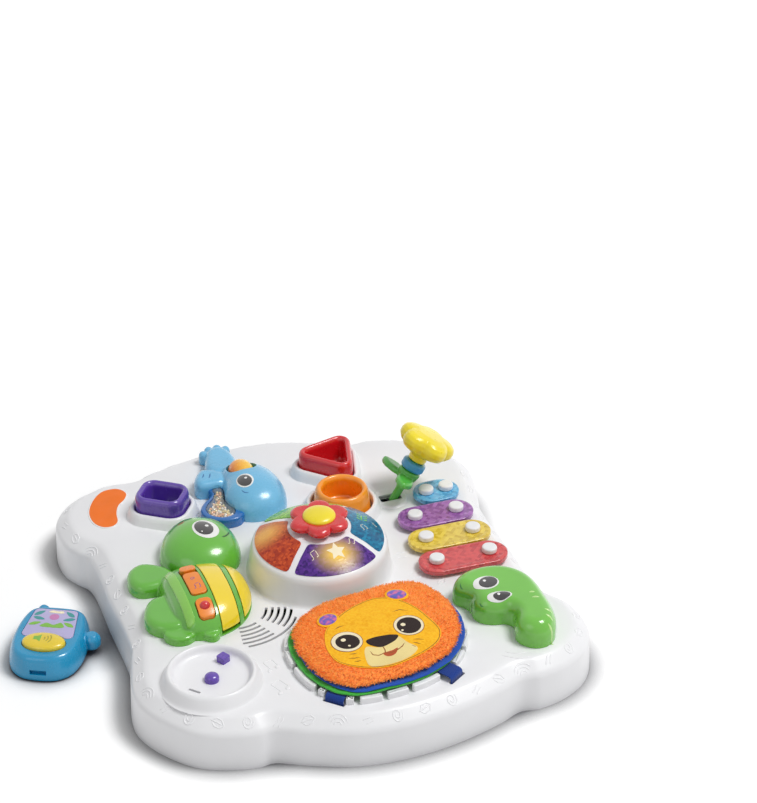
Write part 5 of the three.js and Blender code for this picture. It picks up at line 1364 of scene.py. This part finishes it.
def printed_eye(name, ring_points, dark_points, glints):
    outline = oval_through(ring_points, 90)
    on_face(f"{name}_edge", inset(outline, -0.6), stitch_brown, 0.16)
    on_face(f"{name}_white", outline, cream_cloth, 0.28)
    on_face(f"{name}_dark", oval_through(dark_points), nose_cloth, 0.42)
    for index, (x, y, reach) in enumerate(glints):
        on_face(f"{name}_glint_{index}", circle(reach, 24, x, y), cream_cloth, 0.54, 2)


printed_eye("lion_eye_left", [(-32.2, -140.3), (-14.6, -131.3), (-7.1, -149.7), (-23.9, -157)],
            [(-28.8, -141.6), (-15.6, -135.5), (-9.1, -149), (-22.5, -154.5)],
            [(-21.7, -141.6, 2.2), (-19.5, -151.1, 1.2)])
printed_eye("lion_eye_right", [(26.6, -136.7), (44, -127.7), (50.9, -145.9), (33.8, -154.1)],
            [(29, -137.7), (42.9, -130.5), (48.9, -145.1), (34.4, -152.4)],
            [(34.3, -138.9, 2.2), (30.9, -146.3, 1.1)])


def cloth_page(colour, look, body, grow, shift, low, high, wave):
    """A sewn cloth page: a soft edge, a slightly wavy outline and a top that isn't quite level."""
    outline = eased(MANE_PLAN, -grow) + shift
    profile = [(14, low), (0.9, low), (0.2, (low + high) / 2), (0.9, high), (5, high), (14, high)]
    rings = []
    for inward, z in soften(profile, 0.6, 3):
        rows = ring(eased(outline, inward), z)
        for row in rows:
            row[2] += wave * noise.noise(Vector((row[0] / 13, row[1] / 13, grow)))
            row[:2] += 0.7 * wave * np.array([
                noise.noise(Vector((row[0] / 9, row[1] / 9, seed))) for seed in (7.0, 11.0)])
        rings.append(rows)
    return piece(f"cloth_page_{colour}", loft_data(rings), look, f"{colour}_cloth", f"{colour}_page",
                 body=body, smooth_angle=60)


blue_leaf = cloth_page("blue", blue_cloth, "lion_leaf", grow=0.4, shift=(2.4, -1.6), low=56.3, high=57.9,
                       wave=0.9)
green_leaf = cloth_page("green", green_cloth, "table", grow=2.2, shift=(-0.6, 0), low=53.4, high=55.8,
                        wave=0.8)

# Book rail: rounded blocks round the cloth book with gaps between them and at the straps.
RAIL = {"out": 3.5, "half": 2.4, "gaps": 16, "half_gap": 2.2, "strap_x": 12, "strap_y": 9.4, "fewest": 6}
GAP_PLACES = [9 + 10 * round(notch * 2.5) for notch in range(RAIL["gaps"])]
RAIL_SECTION = soften([(0, 46), (0, 53), (1.4, 53.2)], 1.2)


def rail_runs():
    """The stretches of the rail's line that lie clear of every gap."""
    line = eased(MANE_PLAN, -RAIL["out"])
    count = len(line)
    clear = np.ones(count, bool)
    for place in GAP_PLACES:
        clear &= np.linalg.norm(line - line[place % count], axis=1) > RAIL["half_gap"]
    for x, y, degrees in STRAPS.values():
        beside = turn(line - [x, y], -degrees)
        clear &= ~((np.abs(beside[:, 0]) < RAIL["strap_x"]) & (np.abs(beside[:, 1]) < RAIL["strap_y"]))
    for start in (i for i in range(count) if clear[i] and not clear[i - 1]):
        stop = start
        while clear[stop % count]:
            stop += 1
        if stop - start >= RAIL["fewest"]:
            yield np.array([line[i % count] for i in range(start, stop)])


def book_rail():
    blocks = []
    for run in rail_runs():
        along = np.gradient(run, axis=0)
        along /= np.linalg.norm(along, axis=1)[:, None]
        side = np.column_stack([-along[:, 1], along[:, 0]]) * RAIL["half"]
        outline = calm(even(np.vstack([run - side, (run + side)[::-1]]), 80), 3)
        blocks.append(stack_data(outline, RAIL_SECTION))
    piece("book_rail", joined(*blocks), white, "white_plastic", smooth_angle=40)


book_rail()

# Straps: the line each follows out of the book, and its flat section.
STRAP_LINE = soften([(-11, 52.3), (0.4, 52.3), (2.7, 50.4), (2.7, 42)], 1.8, 8)
STRAP_HALF = {"width": 8.5, "thick": 0.6}
STRAP_SAG = 0.12


def strap(side, x, y, degrees, corner=0.5):
    """A flat woven strap that comes from under the page and turns down into its slot."""
    path = even(STRAP_LINE, 40, closed=False)
    w, t = STRAP_HALF["width"], STRAP_HALF["thick"]
    section = rounded([(-w, -t), (w, -t), (w, t), (-w, t)], corner, 3)
    rings = []
    for i, point in enumerate(path):
        before, after = path[max(i - 1, 0)], path[min(i + 1, len(path) - 1)]
        along = (after - before) / np.linalg.norm(after - before)
        up = np.array([-along[1], along[0]])
        rows = []
        for across, thick in section:
            out, z = point + up * (thick + STRAP_SAG * math.cos(across / w * math.pi))
            rows.append([*turn([(out, across)], degrees, x, y)[0], z])
        rings.append(np.array(rows))
    obj = piece(f"strap_{side}_web", loft_data(rings), strap_blue, "blue_cloth", f"book_strap_{side}",
                smooth_angle=50)


for side, spec in STRAPS.items():
    strap(side, *spec)


# Toy phone, drawn upright about its own middle and turned on the floor.
PHONE = {"x": -246, "y": 15, "turn": -27.8, "count": 240}
PHONE_HALF = [(0, -42), (16, -40), (28, -31), (34, -15), (35, 4), (33, 24), (28, 38), (19, 44), (8, 45.4)]
PHONE_SECTION = [(2.6, 0.5), (1.4, 3), (1.1, 8), (3, 17), (4.8, 22), (7.4, 24)]
PHONE_KEY = {"y": -15, "width": 39, "depth": 24.6}
PHONE_PANEL = [(-24, -6), (24, -6), (19.6, 35.6), (-19.6, 35.6)]
phone_plan = smooth(PHONE_HALF + [(-x, y) for x, y in PHONE_HALF[-2:0:-1]], PHONE["count"])


def on_phone(points):
    return turn(points, PHONE["turn"], PHONE["x"], PHONE["y"])


def key_oval(grow, count=120):
    return oval((PHONE_KEY["width"] + grow) / 2, (PHONE_KEY["depth"] + grow) / 2, count, 0, PHONE_KEY["y"])


KNOB_SECTION = soften([(2, 5), (0, 8), (0, 15.4), (3.4, 19.2)], 2)
KNOBS = [(37, 10, 8), (-16, 46, 6)]
KEY_ROOM, KEY_WELL = 1.4, (19.4, 30)
KEY_LEVELS = {"foot": 21.2, "base": 24.6, "rise": 4.8, "power": 2.8}
PANEL_ROOM, PANEL_WELL = 0.5, (22.8, 30)
PANEL_NOTCH = {"grow": 4, "levels": (20, 26)}
GRIP = {"radius": 2.2, "x": 35.8, "y": -15, "pitch": 6, "levels": (-1, 17)}
NOTCH = {"width": 15, "depth": 12, "corner": 1, "y": -42, "levels": (8, 12.4)}
WAVES = {"middle": (-2, -14.5), "radii": (3.4, 6.2, 9)}
PANEL_SECTION = soften([(0, 23.1), (0, 24.1), (0.6, 24.3)], 0.2)
PANEL_TOP = Flat(24.3)
panel_plan = rounded(PHONE_PANEL, 5)
PICTURE_LEAF = smooth([(-7, 0), (-2.6, 2.6), (2.4, 2.4), (7, 0), (2.4, -2.4), (-2.6, -2.6)], 40) * 0.8
PICTURE_LEAVES = [
    (-14.6, 28.6, 40, print_teal), (-13.4, 21, -14, print_teal), (-15.4, 13, 24, print_green),
    (13.8, 29, 140, print_teal), (14.4, 21.4, 196, print_teal), (15.6, 13.6, 150, print_green),
]
HILL = smooth([(-10, 9.4), (-5, 14.6), (2, 12.4), (8, 16), (12, 9.6), (0, 8.2)], 60)
SUN = circle(4.4, 40, 0, 24)
CLOUD = smooth([(-6.6, 31), (-3, 33.6), (1.6, 32.6), (6, 33.2), (7.4, 30.4), (0, 29.8)], 48)
SIGN = np.array([(-9, -17), (-5.6, -17), (-2.4, -19.6), (-2.4, -9.4), (-5.6, -12), (-9, -12)], float)


def phone_prism(outline, low, high):
    return prism_data(on_phone(outline), low, high)


def phone_body():
    parts = [stack_data(on_phone(phone_plan), soften(PHONE_SECTION, 3.4, 6), eased)]
    parts += [stack_data(on_phone(circle(reach, 64, x, y)), KNOB_SECTION, eased) for x, y, reach in KNOBS]
    case = fused("phone_shell", parts, phone_blue, "phone")
    carve(case, phone_prism(key_oval(KEY_ROOM), *KEY_WELL))
    carve(case, phone_prism(inset(panel_plan, -PANEL_ROOM), *PANEL_WELL))
    grips = [circle(GRIP["radius"], 20, side * GRIP["x"], GRIP["y"] + GRIP["pitch"] * k)
             for side in (-1, 1) for k in range(3)]
    notch = box_outline(NOTCH["width"], NOTCH["depth"], NOTCH["corner"]) + [0, NOTCH["y"]]
    cuts = [phone_prism(notch, *NOTCH["levels"])] + [phone_prism(grip, *GRIP["levels"]) for grip in grips]
    carve(case, joined(*cuts))
    case.data.shade_smooth()
    case.data.set_sharp_from_angle(angle=math.radians(40))
    tag(case, "phone_blue_plastic", "phone_case")


def phone_front():
    """The face panel with its picture: leaves at the sides, a hill, a sun and a cloud."""
    plate = stack("phone_picture", on_phone(panel_plan), PANEL_SECTION, panel_lilac, "phone")
    carve(plate, phone_prism(key_oval(PANEL_NOTCH["grow"]), *PANEL_NOTCH["levels"]))
    tag(plate, "printed_panel", "phone_panel")
    pictures = [(f"leaf_{index}", turn(PICTURE_LEAF, degrees, x, y), look, 0.12)
                for index, (x, y, degrees, look) in enumerate(PICTURE_LEAVES)]
    pictures += [("hill", HILL, print_green, 0.12), ("sun", SUN, print_rose, 0.12),
                 ("cloud", CLOUD, cream_print, 0.14)]
    for name, outline, look, lift in pictures:
        patch(f"picture_{name}", on_phone(outline), PANEL_TOP, look, "phone", lift=lift, rings=2, sink=0.05)


def phone_press():
    """The big button with its printed sign."""
    middle = on_phone([(0, PHONE_KEY["y"])])[0]
    dome = dome_data(on_phone(key_oval(0)), middle, **KEY_LEVELS)
    key = piece("phone_key_cap", dome, phone_yellow, "yellow_plastic", "phone_button", body="phone_key",
                smooth_angle=60)
    skin = Skin(key)
    patch("phone_key_sign", on_phone(even(SIGN, 60)), skin, print_green, "phone_key", lift=0.14, rings=2,
          sink=0.1)
    waves = [on_phone(arc(*WAVES["middle"], radius, -42, 42, 8)) for radius in WAVES["radii"]]
    lines("phone_key_waves", waves, skin, key_olive, "phone_key", width=1.3, height=0.3)


phone_body()
phone_front()
phone_press()

# Raised motifs moulded into the white top.
top_skin = Skin(top)
BAND_INSET, MOTIF_COUNT = 8.8, 58
MOTIF_SIZES = {"curl": 10.6, "shell": 10.6, "leaf": 9.4, "dash": 9.4}
MOTIF_ORDER = ("curl", "dash", "leaf", "shell", "dash", "curl", "leaf")
BIG_ARCS, BIG_ARCS_AT = (20, 26), (128, -168, 20)
SMALL_LEAF, SMALL_LEAF_AT = 9, (100, -66, 40)
SMALL_WAVE = np.array([(76, -52), (80, -50), (84, -52), (88, -50)])
WAVE_STEPS = [(0, 7 * k) for k in (0, 1, 5, 6)]
RAISED_NOTES = [(-84, -128, 13, 18), (-86, -159, 15, 24)]
NOTE_HEADS = np.array([(-0.34, -0.48), (0.3, -0.4)])


def placed(strokes, x, y, degrees):
    return [turn(stroke, degrees, x, y) for stroke in strokes]


def motif(kind, size):
    """Small raised ornaments: a curl, a leaf, a shell of arcs and a pair of dashes."""
    if kind == "curl":
        return [np.array(spiral(0, 0, size, 2.1))]
    if kind == "leaf":
        edge = [(-0.6, 0), (-0.2, 0.32), (0.3, 0.3), (0.6, 0), (0.3, -0.3), (-0.2, -0.32), (-0.6, 0)]
        return [np.array(edge) * size, np.array([(-0.7, 0), (0, 0.02), (0.45, 0)]) * size]
    if kind == "shell":
        return [np.array(arc(0, -0.4 * size, size * share, 20, 160, 9)) for share in (0.35, 0.6, 0.85)]
    dashes = ([(-0.5, -0.2), (0, 0.1), (0.3, 0.3)], [(-0.1, -0.4), (0.3, -0.1), (0.6, 0.1)])
    return [np.array(dash) * size for dash in dashes]


def band_motifs():
    """Walks round the sloped band and sets one motif after another, each turned with the edge."""
    line = even(eased(plan, BAND_INSET), MOTIF_COUNT)
    strokes = []
    for index, (x, y) in enumerate(line):
        along = line[(index + 1) % len(line)] - line[index - 1]
        degrees = math.degrees(math.atan2(along[1], along[0])) + 17 * math.sin(5 * index)
        kind = MOTIF_ORDER[index % len(MOTIF_ORDER)]
        strokes += placed(motif(kind, MOTIF_SIZES[kind]), x, y, degrees)
    return strokes


def top_motifs():
    """The notes by the dish, arcs by the inchworm, a leaf and four small waves by the yellow bar."""
    strokes = [stroke for x, y, size, degrees in RAISED_NOTES for stroke in note_strokes(x, y, size, degrees)]
    strokes += placed([np.array(arc(0, 0, radius, 200, 262, 8)) for radius in BIG_ARCS], *BIG_ARCS_AT)
    strokes += placed(motif("leaf", SMALL_LEAF), *SMALL_LEAF_AT)
    return strokes + [SMALL_WAVE + step for step in WAVE_STEPS]


for index, (x, y, size, degrees) in enumerate(RAISED_NOTES):
    for side, spot in enumerate(turn(NOTE_HEADS * size, degrees, x, y)):
        outline = oval(2.5, 1.8, 32, *spot, degrees + 20)
        head = patch(f"raised_note_{index}_{side}", outline, top_skin, white, "table", 0.4, 0.5, 3)
raised = band_motifs() + top_motifs()
tag(lines("raised_motifs", raised, top_skin, white, "table", width=1.4, height=0.55), "white_plastic")

# Inner works and covers that keep their CAD shape.
NODE_LOOKS = {
    under_white: ("bottom_cover", "battery_door"), steel: ("battery_door_screw", "lever_pin"),
    cell_wrap: ("battery_left", "battery_right"), black_paper: ("speaker",),
    board_green: ("main_board", "turtle_board"), phone_blue: ("phone_back",),
    rubber_grey: ("square_switch_pad", "triangle_switch_pad", "ring_switch_pad", "flower_switch_pad"),
}
for look, names in NODE_LOOKS.items():
    for name in names:
        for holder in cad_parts[name].material_slots:
            holder.material = look


# Floor, light and camera.
FLOOR = {"half": 4000, "clear": 300, "far": 1200, "cloud": 400}


def floor_look():
    """Pale floor that keeps the shadow and looks white to the camera and in reflections, with a painted
    contact shadow close to the pieces.
    """
    paint = Paint("floor", Roughness=0.9, Specular_IOR_Level=0.1, Emission_Color=(1, 1, 1, 1))
    path = paint.add("ShaderNodeLightPath").outputs
    seen = paint.maths("MAXIMUM", path["Is Camera Ray"], path["Is Glossy Ray"])
    seen = paint.maths("MAXIMUM", seen, path["Is Transmission Ray"])
    glow = paint.spread(paint.distance(0, 0, 0), 0.1, 0.8, FLOOR["clear"], FLOOR["far"])
    # Painted contact shadow: ambient occlusion darkens the floor's colour and lowers its glow close to the
    # pieces.
    painted_light_share = paint.add("ShaderNodeAmbientOcclusion", Distance=0.03).outputs["AO"]
    painted_light_share = paint.spread(painted_light_share, 0, 1, 0.42, 0.9)
    glow = paint.maths("MULTIPLY", glow, painted_light_share)
    painted_contact_shadow = paint.blend(painted_light_share, srgb(70, 70, 76), srgb(255, 255, 255))
    cloud = paint.spread(paint.noise(FLOOR["cloud"], 2), 0.9, 1)
    return paint.use(Emission_Strength=paint.maths("MULTIPLY", seen, glow),
                     Base_Color=paint.blend(cloud, srgb(240, 240, 241), painted_contact_shadow))


corners = FLOOR["half"] * np.array([(-1, -1, 0), (1, -1, 0), (1, 1, 0), (-1, 1, 0)])
floor = new_object("floor", corners, [(0, 1, 2, 3)], floor_look(), None)


def world_light(strength):
    """White where it is seen, in reflections and through clear plastic; else a light of this strength."""
    world = bpy.data.worlds.new("studio")
    bpy.context.scene.world = world
    world.use_nodes = True
    tree = world.node_tree
    back = tree.nodes["Background"]
    back.inputs["Color"].default_value = (1, 1, 1, 1)
    path = tree.nodes.new("ShaderNodeLightPath")
    seen = path.outputs["Is Camera Ray"]
    for ray in ("Is Transmission Ray", "Is Glossy Ray"):
        either = tree.nodes.new("ShaderNodeMath")
        either.operation = "MAXIMUM"
        tree.links.new(seen, either.inputs[0])
        tree.links.new(path.outputs[ray], either.inputs[1])
        seen = either.outputs[0]
    level = tree.nodes.new("ShaderNodeMapRange")
    level.inputs["To Min"].default_value = strength
    level.inputs["To Max"].default_value = 1.0
    tree.links.new(seen, level.inputs["Value"])
    tree.links.new(level.outputs["Result"], back.inputs["Strength"])


def lamp(name, power, size, place, aim):
    data = bpy.data.lights.new(name, "AREA")
    data.energy = power
    data.shape = "DISK"
    data.size = size
    obj = bpy.data.objects.new(name, data)
    bpy.context.scene.collection.objects.link(obj)
    obj.location = place
    obj.rotation_euler = (Vector(aim) - Vector(place)).to_track_quat("-Z", "Y").to_euler()


# Power in watts; size, place and aim in metres.
LAMPS = {
    "key": (128, 1.7, (1.9, -0.9, 4.0), (0, 0, 0)),
    "fill": (3.4, 1.2, (-1.6, -1.0, 1.3), (0, 0, 0.05)),
}
WORLD_STRENGTH = 0.36
world_light(WORLD_STRENGTH)
for name, spec in LAMPS.items():
    lamp(name, *spec)

CAMERA = {"place": (-0.5492, -1.6309, 1.2552), "aim": (0.15653, 0.2466, 0.050), "lens": 102.7, "sensor": 36}
view = bpy.data.cameras.new("photo_view")
view.lens = CAMERA["lens"]
view.sensor_fit = "VERTICAL"
view.sensor_height = CAMERA["sensor"]
camera = bpy.data.objects.new("photo_view", view)
bpy.context.scene.collection.objects.link(camera)
camera.location = CAMERA["place"]
camera.rotation_euler = (Vector(CAMERA["aim"]) - Vector(CAMERA["place"])).to_track_quat("-Z", "Y").to_euler()
bpy.context.scene.camera = camera
bpy.context.scene.view_settings.view_transform = "Standard"
